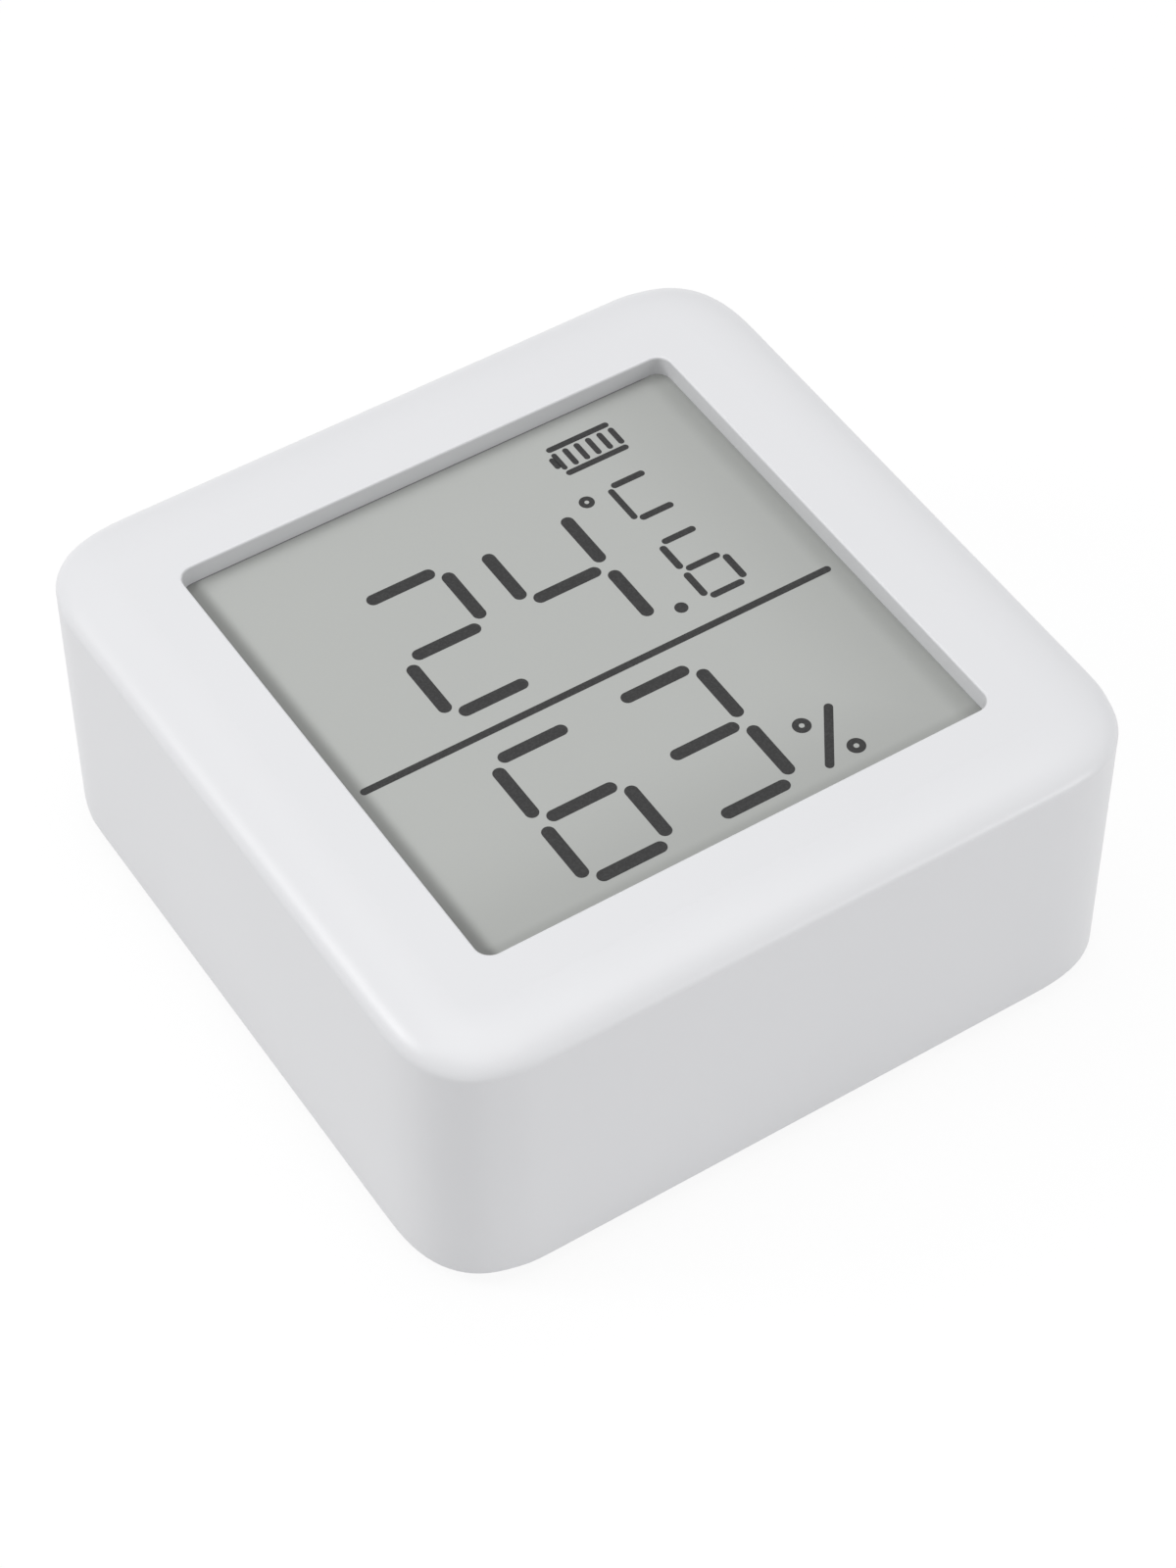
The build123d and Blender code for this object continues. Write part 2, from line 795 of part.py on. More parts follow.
def vent_collar():
    """Low wall on the inside of the cover, round the air slots' mesh."""
    inner = mesh_margin + collar_gap
    wall = duct_frame(inner + collar_wall, cover_plate, cover_inner)
    return wall - duct_frame(inner, cover_plate - overrun, cover_inner + overrun)


def latch_tongue(spot, side):
    """Upright tongue with the small bead that holds the cover."""
    outer = cover_half - latch_inset
    inner = outer - latch_thickness
    tongue = latch_block(spot, side, latch_width, inner, outer, cover_plate, cover_plate + latch_height)
    bead_low = cover_plate + latch_bead_level
    bead = latch_block(
        spot, side, latch_width, outer, outer + latch_bead, bead_low, bead_low + latch_bead_height
    )
    return tongue + bead


def make_vent_mesh():
    """Dust mesh glued over the air slots."""
    return duct_frame(mesh_margin, cover_plate, cover_plate + mesh_thickness)


def make_cover_magnets():
    """Disc magnets in the cover's seats."""
    return Compound([
        post_on(spot, magnet_radius, magnet_skin, magnet_skin + magnet_thickness) for spot in magnet_spots
    ])


def make_folding_stand():
    """Flap with rounded free corners, a ribbed inner side and two hinge pins."""
    low, high = stand_recess, stand_recess + stand_thickness
    across = stand_width / 2
    free_end = hinge_offset - stand_length
    flap = box_between((-across, free_end, low), (across, hinge_offset, high))
    corners = flap.edges().filter_by(Axis.Z).group_by(Axis.Y)[0]
    flap = fillet(corners, stand_corner)
    flap += bar_along_x(stand_thickness / 2, -across, across, hinge_offset, hinge_level)
    panel_start = stand_rib / 2
    panel_end = across - stand_panel_margin
    for side in (-1, 1):
        start, end = sorted((side * panel_start, side * panel_end))
        flap -= box_between(
            (start, free_end + stand_panel_margin, high - stand_panel_depth),
            (end, hinge_offset - stand_panel_margin, high + overrun),
        )
    lip = flap.edges().filter_by(Axis.X).group_by(Axis.Y)[0].group_by(Axis.Z)[0]
    flap = chamfer(lip, stand_grip)
    pins = across + hinge_pin_length
    return flap + bar_along_x(hinge_pin_radius, -pins, pins, hinge_offset, hinge_level)


parts = {
    "front_housing": make_front_housing(),
    "display_gasket": make_display_gasket(),
    "front_polarizer": make_film(display_level),
    "front_glass": make_front_glass(),
    "rear_glass": make_rear_glass(),
    "rear_polarizer": make_film(rear_film_level),
    "contact_strip": make_contact_strip(),
    "display_carrier": make_display_carrier(),
    "main_board": make_main_board(),
    "board_screws": make_board_screws(),
    "wireless_chip": make_chip(wireless_chip_shares, wireless_chip_size),
    "display_driver": make_chip(display_driver_shares, display_driver_size),
    "main_crystal": make_chip(main_crystal_shares, main_crystal_size),
    "clock_crystal": make_chip(clock_crystal_shares, clock_crystal_size),
    "chip_antenna": make_chip(chip_antenna_shares, chip_antenna_size),
    "power_coil": make_chip(power_coil_shares, power_coil_size),
    "chip_capacitors": make_small_chips(capacitor_shares, capacitor_size),
    "chip_resistors": make_small_chips(resistor_shares, resistor_size),
    "humidity_sensor": make_humidity_sensor(),
    "sensor_seal": make_sensor_seal(),
    "push_switch": make_push_switch(),
    "switch_stem": make_switch_stem(),
    "button_cap": make_button_cap(),
    "battery_tray": make_battery_tray(),
    "tray_screws": make_tray_screws(),
    "upper_cell": make_cell(upper_cell, 1),
    "lower_cell": make_cell(lower_cell, -1),
    "positive_contact": make_positive_contact(),
    "negative_contact": make_negative_contact(),
    "bridge_contact": make_bridge_contact(),
    "contact_springs": make_contact_springs(),
    "back_cover": make_back_cover(),
    "vent_mesh": make_vent_mesh(),
    "cover_magnets": make_cover_magnets(),
    "folding_stand": make_folding_stand(),
}

for name, shape in parts.items():
    export_step(shape, f"parts/{name}.step")
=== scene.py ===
"""Looks of the temperature humidity sensor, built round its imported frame. Lengths are in metres."""

import logging
from dataclasses import dataclass, field
from enum import Enum
from typing import Any, Iterable, Sequence

import bmesh
import bpy
import numpy as np
from mathutils import Matrix, Vector

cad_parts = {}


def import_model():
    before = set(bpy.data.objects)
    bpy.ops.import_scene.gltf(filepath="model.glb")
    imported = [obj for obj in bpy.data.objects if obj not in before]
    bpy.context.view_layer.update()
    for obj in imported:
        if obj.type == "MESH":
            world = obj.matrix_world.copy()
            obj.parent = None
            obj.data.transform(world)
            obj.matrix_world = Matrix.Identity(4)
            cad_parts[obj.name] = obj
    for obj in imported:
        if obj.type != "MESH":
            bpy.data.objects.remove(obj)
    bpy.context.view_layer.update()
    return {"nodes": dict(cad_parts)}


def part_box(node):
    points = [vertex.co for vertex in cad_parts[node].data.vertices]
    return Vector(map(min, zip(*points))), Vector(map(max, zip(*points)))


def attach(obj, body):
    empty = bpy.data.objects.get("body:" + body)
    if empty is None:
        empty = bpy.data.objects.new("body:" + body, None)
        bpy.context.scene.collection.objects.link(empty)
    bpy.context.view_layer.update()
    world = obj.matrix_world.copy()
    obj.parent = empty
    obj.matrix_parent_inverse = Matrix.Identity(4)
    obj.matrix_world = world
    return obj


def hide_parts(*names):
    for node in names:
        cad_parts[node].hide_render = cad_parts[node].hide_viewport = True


LOG = logging.getLogger("sensor")
MM = 0.001
TURN = 2.0 * np.pi
Pair = tuple[float, float]
Triple = tuple[float, float, float]
Colour = Triple


# ---- shader tools


class Value:
    """A socket or a number that takes part in arithmetic, each sum adding one Math node."""

    def __init__(self, nodes: "Nodes", source: Any) -> None:
        """Keep the nodes and the socket or number.

        Args:
            nodes: the node tree that new nodes join.
            source: an output socket or a plain number.
        """
        self.nodes = nodes
        self.source = source

    def _join(self, operation: str, first: Any, second: Any = 0.0, clamp: bool = False) -> "Value":
        """Add a Math node.

        Args:
            operation: the node's operation.
            first: left operand.
            second: right operand.
            clamp: whether the result is kept from 0 to 1.

        Returns:
            The node's result.
        """
        settings = {"operation": operation, "use_clamp": clamp}
        node = self.nodes.node("ShaderNodeMath", settings, {0: first, 1: second})
        return Value(self.nodes, node.outputs[0])

    def __add__(self, other: Any) -> "Value":
        """Sum."""
        return self._join("ADD", self, other)

    __radd__ = __add__

    def __sub__(self, other: Any) -> "Value":
        """Difference."""
        return self._join("SUBTRACT", self, other)

    def __rsub__(self, other: Any) -> "Value":
        """Difference from a plain number."""
        return self._join("SUBTRACT", other, self)

    def __mul__(self, other: Any) -> "Value":
        """Product."""
        return self._join("MULTIPLY", self, other)

    __rmul__ = __mul__

    def __abs__(self) -> "Value":
        """Distance from zero."""
        return self._join("ABSOLUTE", self)

    def clamped(self) -> "Value":
        """The value kept from 0 to 1."""
        return self._join("ADD", self, 0.0, True)

    def larger(self, other: Any) -> "Value":
        """The larger of two values."""
        return self._join("MAXIMUM", self, other)

    def sine(self) -> "Value":
        """Sine of the value."""
        return self._join("SINE", self)

    def root(self) -> "Value":
        """Square root of the value."""
        return self._join("SQRT", self)

    def centred(self) -> "Value":
        """A noise's value, moved to lie about zero."""
        return self - 0.5

    def step(self, low: float, high: float) -> "Value":
        """Smooth rise from 0 at low to 1 at high.

        Args:
            low: where the rise starts.
            high: where it ends.

        Returns:
            The risen value.
        """
        settings = {"interpolation_type": "SMOOTHSTEP"}
        node = self.nodes.node("ShaderNodeMapRange", settings, {0: self, 1: low, 2: high})
        return Value(self.nodes, node.outputs[0])


class Nodes:
    """A node tree and the ways to add to it."""

    def __init__(self, tree: bpy.types.NodeTree) -> None:
        """Keep the tree.

        Args:
            tree: the tree that new nodes go into.
        """
        self.tree = tree

    def node(self, kind: str, settings: dict[str, Any], inputs: dict[Any, Any]) -> bpy.types.Node:
        """Add a node, set it up and feed its inputs.

        Args:
            kind: the node's type.
            settings: properties that are set first.
            inputs: input names or numbers with values, sockets or Values.

        Returns:
            The new node.
        """
        new = self.tree.nodes.new(kind)
        for key, setting in settings.items():
            setattr(new, key, setting)
        for key, source in inputs.items():
            self.feed(new.inputs[key], source)
        return new

    def feed(self, socket: bpy.types.NodeSocket, source: Any) -> None:
        """Link a socket or set its number.

        Args:
            socket: the input.
            source: a Value, an output socket, a number or a colour.
        """
        if isinstance(source, Value):
            source = source.source
        if isinstance(source, bpy.types.NodeSocket):
            self.tree.links.new(source, socket)
        else:
            socket.default_value = source

    def mix(self, share: Any, first: Any, second: Any) -> bpy.types.NodeSocket:
        """Mix two colours.

        Args:
            share: share of the second colour.
            first: a colour or colour socket.
            second: a colour or colour socket.

        Returns:
            The mixed colour.
        """
        mixer = self.tree.nodes.new("ShaderNodeMix")
        mixer.data_type = "RGBA"
        self.feed(mixer.inputs["Factor"], share)
        colours = [slot for slot in mixer.inputs if slot.type == "RGBA"]
        for slot, colour in zip(colours, (first, second)):
            self.feed(slot, (*colour, 1.0) if isinstance(colour, tuple) else colour)
        return next(out for out in mixer.outputs if out.type == "RGBA")


class Shader(Nodes):
    """One material, its principled shader and the nodes that drive it."""

    def __init__(self, name: str) -> None:
        """Make an empty node material.

        Args:
            name: the material's name.
        """
        self.material = bpy.data.materials.new(name)
        self.material.use_nodes = True
        super().__init__(self.material.node_tree)
        self.surface = self.tree.nodes["Principled BSDF"]

    def place(self) -> bpy.types.NodeSocket:
        """Position on the object, in metres."""
        return self.node("ShaderNodeTexCoord", {}, {}).outputs["Object"]

    def axes(self) -> tuple[Value, Value, Value]:
        """The three coordinates on the object, in metres."""
        split = self.node("ShaderNodeSeparateXYZ", {}, {0: self.place()})
        across, along, up = (Value(self, out) for out in split.outputs)
        return across, along, up

    def noise(self, size: float, octaves: float = 2.0, stretch: Triple = (1.0, 1.0, 1.0)) -> Value:
        """Soft noise from 0 to 1.

        Args:
            size: size of its blobs in metres.
            octaves: how many finer noises lie on it.
            stretch: factor along each axis.

        Returns:
            The noise.
        """
        scaled = self.node("ShaderNodeMapping", {}, {"Vector": self.place(), "Scale": stretch})
        inputs = {"Vector": scaled.outputs[0], "Scale": 1.0 / size, "Detail": octaves}
        return Value(self, self.node("ShaderNodeTexNoise", {}, inputs).outputs["Fac"])

    def waves(self, coordinate: Value, pitch: float) -> Value:
        """Sine of a coordinate, from -1 to 1, that repeats at a pitch."""
        return (coordinate * (TURN / pitch)).sine()

    def reach(self, spot: Pair) -> Value:
        """Distance from the nearest of the upright lines at a spot and its mirror across X = 0.

        Args:
            spot: place in metres.

        Returns:
            The distance in metres.
        """
        across, along, _ = self.axes()
        side, far = abs(across) - spot[0], along - spot[1]
        return (side * side + far * far).root()

    def beyond(self, half: float, corner: float) -> Value:
        """Distance past the edge of a square with round corners, in the plane of X and Y.

        The distance of a point from the square that is smaller by the corner's radius, less that
        radius: negative inside, and level once a point is further in than the radius.

        Args:
            half: half the square's side.
            corner: its corners' radius.

        Returns:
            The distance in metres.
        """
        across, along, _ = self.axes()
        side = (abs(across) - (half - corner)).larger(0.0)
        far = (abs(along) - (half - corner)).larger(0.0)
        return (side * side + far * far).root() - corner

    def bump(self, height: Any, depth: float, strength: float = 1.0) -> None:
        """Feed a bump to the surface's normal.

        Args:
            height: height from 0 to 1.
            depth: real depth of one unit of height, in metres.
            strength: share of the bump that is used.
        """
        inputs = {"Height": height, "Distance": depth, "Strength": strength}
        bumped = self.node("ShaderNodeBump", {}, inputs)
        self.feed(self.surface.inputs["Normal"], bumped.outputs[0])

    def dress(self, **inputs: Any) -> bpy.types.Material:
        """Set or link the surface's own inputs.

        Args:
            **inputs: input names, with underscores for spaces.

        Returns:
            The finished material.
        """
        for key, source in inputs.items():
            name = key.replace("_", " ").title().replace("Ior", "IOR")
            self.feed(self.surface.inputs[name], source)
        return self.material


def tinted(colour: Colour, factor: float) -> Colour:
    """A colour with each part times a factor."""
    return tuple(part * factor for part in colour)


# ---- finishes


@dataclass(frozen=True)
class Moulding:
    """Moulded plastic with a fine spark-eroded grain and faint unevenness.

    A square window's upper wall can get painted shade, and ejector pins can leave faint round marks.
    """

    name: str
    colour: Colour
    rough: float = 0.34
    rough_by_grain: float = 0.08
    rough_by_cloud: float = 0.05
    grain: float = 0.00022
    grain_depth: float = 0.000006
    grain_share: float = 0.6
    cloud: float = 0.018
    uneven: float = 0.025
    # From window_half on, the fields paint shade onto the window's upper wall; recess is the share of
    # that painted shade.
    window_half: float = 0.0
    window_corner: float = 0.0011
    window_edge: Pair = (0.00002, 0.00010)
    window_floor: Pair = (0.0205, 0.0210)
    wall_fade: Pair = (-0.0006, -0.0001)
    recess: float = 0.18
    painted_shade_colour: Colour = (0.05, 0.05, 0.05)
    pin_spots: tuple[Pair, ...] = ()
    pin_radius: float = 0.0016
    pin_line: float = 0.00030
    pin_depth: float = 2.0
    pin_floor: Pair = (0.00120, 0.00144)

    def painted_wall_shade(self, shader: Shader) -> Value:
        """Share of the painted shade on the window's upper wall.

        Args:
            shader: the shader that the nodes go into.

        Returns:
            The share, 0 on the face outside the window.
        """
        _, along, up = shader.axes()
        inside = 1.0 - shader.beyond(self.window_half, self.window_corner).step(*self.window_edge)
        start, end = (self.window_half + offset for offset in self.wall_fade)
        return self.recess * (along.step(start, end) * inside * up.step(*self.window_floor))

    def pin_mark(self, shader: Shader, spot: Pair) -> Value:
        """Disc that an ejector pin leaves on an inner face.

        Args:
            shader: the shader that the nodes go into.
            spot: the pin's place, also mirrored across X = 0.

        Returns:
            1 on the disc, 0 elsewhere.
        """
        disc = 1.0 - shader.reach(spot).step(self.pin_radius - self.pin_line, self.pin_radius)
        return disc * shader.axes()[2].step(*self.pin_floor)

    def material(self) -> bpy.types.Material:
        """Build the material."""
        shader = Shader(self.name)
        cloud, grain = shader.noise(self.cloud), shader.noise(self.grain)
        ground = shader.mix(cloud, self.colour, tinted(self.colour, 1.0 - self.uneven))
        # Painted shade: the window's upper wall is darkened towards a dark colour.
        if self.window_half:
            ground = shader.mix(self.painted_wall_shade(shader), ground, self.painted_shade_colour)
        height = grain
        for spot in self.pin_spots:
            height = height - self.pin_depth * self.pin_mark(shader, spot)
        shader.bump(height, self.grain_depth, self.grain_share)
        uneven = self.rough_by_grain * grain.centred() + self.rough_by_cloud * cloud.centred()
        return shader.dress(base_color=ground, roughness=self.rough + uneven)


@dataclass(frozen=True)
class PaintedWallShade:
    """Painted shade on the film along one wall of the window.

    The direction towards the wall, the distances from it where the shade starts and is full, and
    the shade's share there.
    """

    toward: Pair
    start: float
    full: float
    share: float


@dataclass(frozen=True)
class DisplayFilm:
    """Anti-glare film over the grey-green display, with painted shade along the window's walls."""

    name: str
    colour: Colour
    shade: Colour
    crease_shade: Colour
    half: float
    corner: float = 0.0011
    # Painted shade: a band along each wall, a rim, a slow fall from far towards the right and near
    # walls, and a dark line in the crease at the walls' foot.
    walls: tuple[PaintedWallShade, ...] = (
        PaintedWallShade((-1.0, 0.0), 0.00189, 0.00084, 0.85),
        PaintedWallShade((1.0, 0.0), 0.00210, 0.00060, 0.32),
        PaintedWallShade((0.0, -1.0), 0.00196, 0.00112, 0.26),
        PaintedWallShade((0.0, 1.0), 0.00180, 0.00050, 0.09),
    )
    lit_wall: Pair = (-0.0020, -0.0008)
    rim_shade_width: float = 0.00084
    rim_shade_share: float = 0.34
    crease_shade_edge: Pair = (-0.000144, -0.000054)
    far: float = 0.009
    slow_shade_share: float = 0.19
    cloud: float = 0.012
    cloud_share: float = 0.35
    cloud_tint: float = 0.965
    speckle: float = 0.00012
    speckle_share: float = 0.05
    speckle_depth: float = 0.000002
    speckle_bump: float = 0.5
    rough: float = 0.52
    rough_by_speckle: float = 0.1

    def shaded(self, shader: Shader, unlit: Value) -> Value:
        """Share of the painted shade: a rim, a slow fall towards two walls and a band along each
        wall.

        Args:
            shader: the shader that the nodes go into.
            unlit: 0 along the wall that light reaches, 1 elsewhere.

        Returns:
            The share, kept from 0 to 1.
        """
        across, along, _ = shader.axes()
        rim = shader.beyond(self.half, self.corner).step(-self.rim_shade_width, 0.0)
        share = self.rim_shade_share * rim * unlit
        share = share + self.slow_shade_share * across.larger(-1.0 * along).step(self.far, self.half)
        for wall in self.walls:
            toward = across * wall.toward[0] + along * wall.toward[1]
            share = share + wall.share * toward.step(self.half - wall.start, self.half - wall.full)
        return share.clamped()

    def material(self) -> bpy.types.Material:
        """Build the material."""
        shader = Shader(self.name)
        # Painted shade: a dark line in the crease where the walls meet the film, left out along the
        # lit wall.
        unlit = 1.0 - shader.axes()[0].step(*(self.half + offset for offset in self.lit_wall))
        crease_shade = shader.beyond(self.half, self.corner).step(*self.crease_shade_edge) * unlit
        speckle, cloud = shader.noise(self.speckle), shader.noise(self.cloud)
        cloudy = tinted(self.colour, self.cloud_tint)
        ground = shader.mix(cloud * self.cloud_share, self.colour, cloudy)
        ground = shader.mix(self.shaded(shader, unlit), ground, self.shade)
        ground = shader.mix(self.speckle_share * speckle, ground, self.shade)
        shader.bump(speckle, self.speckle_depth, self.speckle_bump)
        return shader.dress(
            base_color=shader.mix(crease_shade, ground, self.crease_shade),
            roughness=self.rough + self.rough_by_speckle * speckle.centred(),
        )


@dataclass(frozen=True)
class Metal:
    """Plated or bare metal with fine drawn lines and a faint tarnish."""

    name: str
    colour: Colour
    rough: float = 0.28
    rough_by_line: float = 0.12
    rough_by_tarnish: float = 0.1
    line: float = 0.00006
    line_depth: float = 0.000002
    stretch: Triple = (1.0, 1.0, 0.08)
    line_share: float = 0.5
    tarnish: float = 0.003
    octaves: float = 3.0
    tarnish_share: float = 0.5
    tarnish_tint: float = 0.82

    def material(self) -> bpy.types.Material:
        """Build the material."""
        shader = Shader(self.name)
        lines = shader.noise(self.line, stretch=self.stretch)
        tarnish = shader.noise(self.tarnish, self.octaves)
        shader.bump(lines, self.line_depth, self.line_share)
        dull = tinted(self.colour, self.tarnish_tint)
        uneven = self.rough_by_line * lines.centred() + self.rough_by_tarnish * tarnish
        return shader.dress(
            base_color=shader.mix(tarnish * self.tarnish_share, self.colour, dull),
            roughness=self.rough + uneven,
            metallic=1.0,
        )


@dataclass(frozen=True)
class TurnedMetal:
    """Plated disc with fine rings left by grinding, about a spot and its mirror across X = 0."""

    name: str
    colour: Colour
    spot: Pair
    rough: float = 0.2
    rough_by_tarnish: float = 0.16
    pitch: float = 0.00055
    ring_depth: float = 0.0000008
    ring_share: float = 0.5
    tarnish: float = 0.002
    octaves: float = 4.0
    tarnish_share: float = 0.7
    tarnish_tint: float = 0.72

    def material(self) -> bpy.types.Material:
        """Build the material."""
        shader = Shader(self.name)
        tarnish = shader.noise(self.tarnish, self.octaves)
        rings = shader.waves(shader.reach(self.spot), self.pitch)
        shader.bump(rings, self.ring_depth, self.ring_share)
        dull = tinted(self.colour, self.tarnish_tint)
        return shader.dress(
            base_color=shader.mix(self.tarnish_share * tarnish, self.colour, dull),
            roughness=self.rough + self.rough_by_tarnish * tarnish,
            metallic=1.0,
        )


@dataclass(frozen=True)
class StripedRubber:
    """Elastomer strip: thin conducting layers between clear ones, all across X."""

    name: str
    light: Colour
    dark: Colour
    pitch: float = 0.0002
    edge: Pair = (-0.2, 0.2)
    depth: float = 0.000006
    rough: float = 0.55
    rough_by_layer: float = 0.1

    def material(self) -> bpy.types.Material:
        """Build the material."""
        shader = Shader(self.name)
        layers = shader.waves(shader.axes()[0], self.pitch).step(*self.edge)
        shader.bump(layers, self.depth)
        return shader.dress(
            base_color=shader.mix(layers, self.light, self.dark),
            roughness=self.rough + self.rough_by_layer * layers,
        )


@dataclass(frozen=True)
class Resin:
    """Dull resin, rubber, ceramic or foam with a pitted surface."""

    name: str
    colour: Colour
    rough: float = 0.7
    rough_by_pit: float = 0.15
    pit: float = 0.00015
    octaves: float = 4.0
    pit_edge: Pair = (0.35, 0.75)
    depth: float = 0.000012
    gain: float = 1.35
    lift: float = 0.01

    def material(self) -> bpy.types.Material:
        """Build the material."""
        shader = Shader(self.name)
        pits = shader.noise(self.pit, self.octaves)
        light = tuple(min(1.0, part + self.lift) for part in tinted(self.colour, self.gain))
        shader.bump(pits, self.depth)
        return shader.dress(
            base_color=shader.mix(pits.step(*self.pit_edge), self.colour, light),
            roughness=self.rough + self.rough_by_pit * pits.centred(),
        )


@dataclass(frozen=True)
class PlateGlass:
    """Clear display glass with a faint, uneven green cast."""

    name: str
    colour: Colour
    cast: Colour = (0.80, 0.88, 0.84)
    smear: float = 0.006
    octaves: float = 3.0
    smear_share: float = 0.4
    rough: float = 0.03
    rough_by_smear: float = 0.04
    bending: float = 1.5

    def material(self) -> bpy.types.Material:
        """Build the material."""
        shader = Shader(self.name)
        smear = shader.noise(self.smear, self.octaves)
        return shader.dress(
            base_color=shader.mix(smear * self.smear_share, self.colour, self.cast),
            roughness=self.rough + self.rough_by_smear * smear,
            transmission_weight=1.0,
            ior=self.bending,
        )


@dataclass(frozen=True)
class Weave:
    """Woven dust mesh: two crossed sets of round threads with dark gaps."""

    name: str
    thread: Colour
    gap: Colour
    pitch: float = 0.0004
    edge: Pair = (0.55, 0.9)
    depth: float = 0.00008
    rough: float = 0.85
    smoother: float = 0.15

    def material(self) -> bpy.types.Material:
        """Build the material."""
        shader = Shader(self.name)
        across, along, _ = shader.axes()
        warp, weft = (abs(shader.waves(axis, 2.0 * self.pitch)) for axis in (across, along))
        threads = warp.larger(weft).step(*self.edge)
        shader.bump(threads, self.depth)
        return shader.dress(
            base_color=shader.mix(threads, self.gap, self.thread),
            roughness=self.rough - self.smoother * threads,
        )


@dataclass(frozen=True)
class SolderMask:
    """Board lacquer over fine copper tracks that show as lighter lines."""

    name: str
    colour: Colour
    track: Colour
    pitch: float = 0.0011
    edge: Pair = (0.70, 0.85)
    patch: float = 0.009
    octaves: float = 0.0
    upright_patch: Pair = (0.56, 0.57)
    level_patch: Pair = (0.40, 0.41)
    depth: float = 0.00003
    rough: float = 0.36
    smoother: float = 0.08

    def material(self) -> bpy.types.Material:
        """Build the material."""
        shader = Shader(self.name)
        across, along, _ = shader.axes()
        patches = shader.noise(self.patch, self.octaves)
        crossed = [shader.waves(axis, self.pitch).step(*self.edge) for axis in (across, along)]
        upright = crossed[0] * patches.step(*self.upright_patch)
        level = crossed[1] * (1.0 - patches.step(*self.level_patch))
        lanes = upright.larger(level)
        shader.bump(lanes, self.depth)
        return shader.dress(
            base_color=shader.mix(lanes, self.colour, self.track),
            roughness=self.rough - self.smoother * lanes,
        )


@dataclass(frozen=True)
class CellJacket:
    """Printed cell jacket: a plain blue body, a pale grey band and bare steel ends."""

    name: str
    body: Colour
    band: Colour
    steel: Colour
    middle: float
    half: float
    end: float
    band_start: float = 0.3
    band_edge: float = 0.0001
    bare: Pair = (-0.0009, -0.0008)
    scuff: float = 0.0009
    octaves: float = 5.0
    scuff_stretch: Triple = (0.35, 1.0, 1.0)
    scuff_edge: Pair = (0.55, 0.8)
    scuff_share: float = 0.12
    scuff_depth: float = 0.00001
    scuff_bump: float = 0.5
    print_metal: float = 0.35
    rough: float = 0.3
    rough_by_scuff: float = 0.12
    coat: float = 0.3

    def material(self) -> bpy.types.Material:
        """Build the material."""
        shader = Shader(self.name)
        along = (shader.axes()[0] - self.middle) * self.end
        scuff = shader.noise(self.scuff, self.octaves, self.scuff_stretch)
        start = self.band_start * self.half
        band = along.step(start, start + self.band_edge)
        bare = abs(along).step(*(self.half + offset for offset in self.bare))
        print_colour = shader.mix(band, self.body, self.band)
        worn = self.scuff_share * scuff.step(*self.scuff_edge)
        print_colour = shader.mix(worn, print_colour, self.steel)
        shader.bump(scuff, self.scuff_depth, self.scuff_bump)
        return shader.dress(
            base_color=shader.mix(bare, print_colour, self.steel),
            metallic=(self.print_metal + (1.0 - self.print_metal) * bare).clamped(),
            roughness=self.rough + self.rough_by_scuff * scuff,
            coat_weight=self.coat - self.coat * bare,
        )


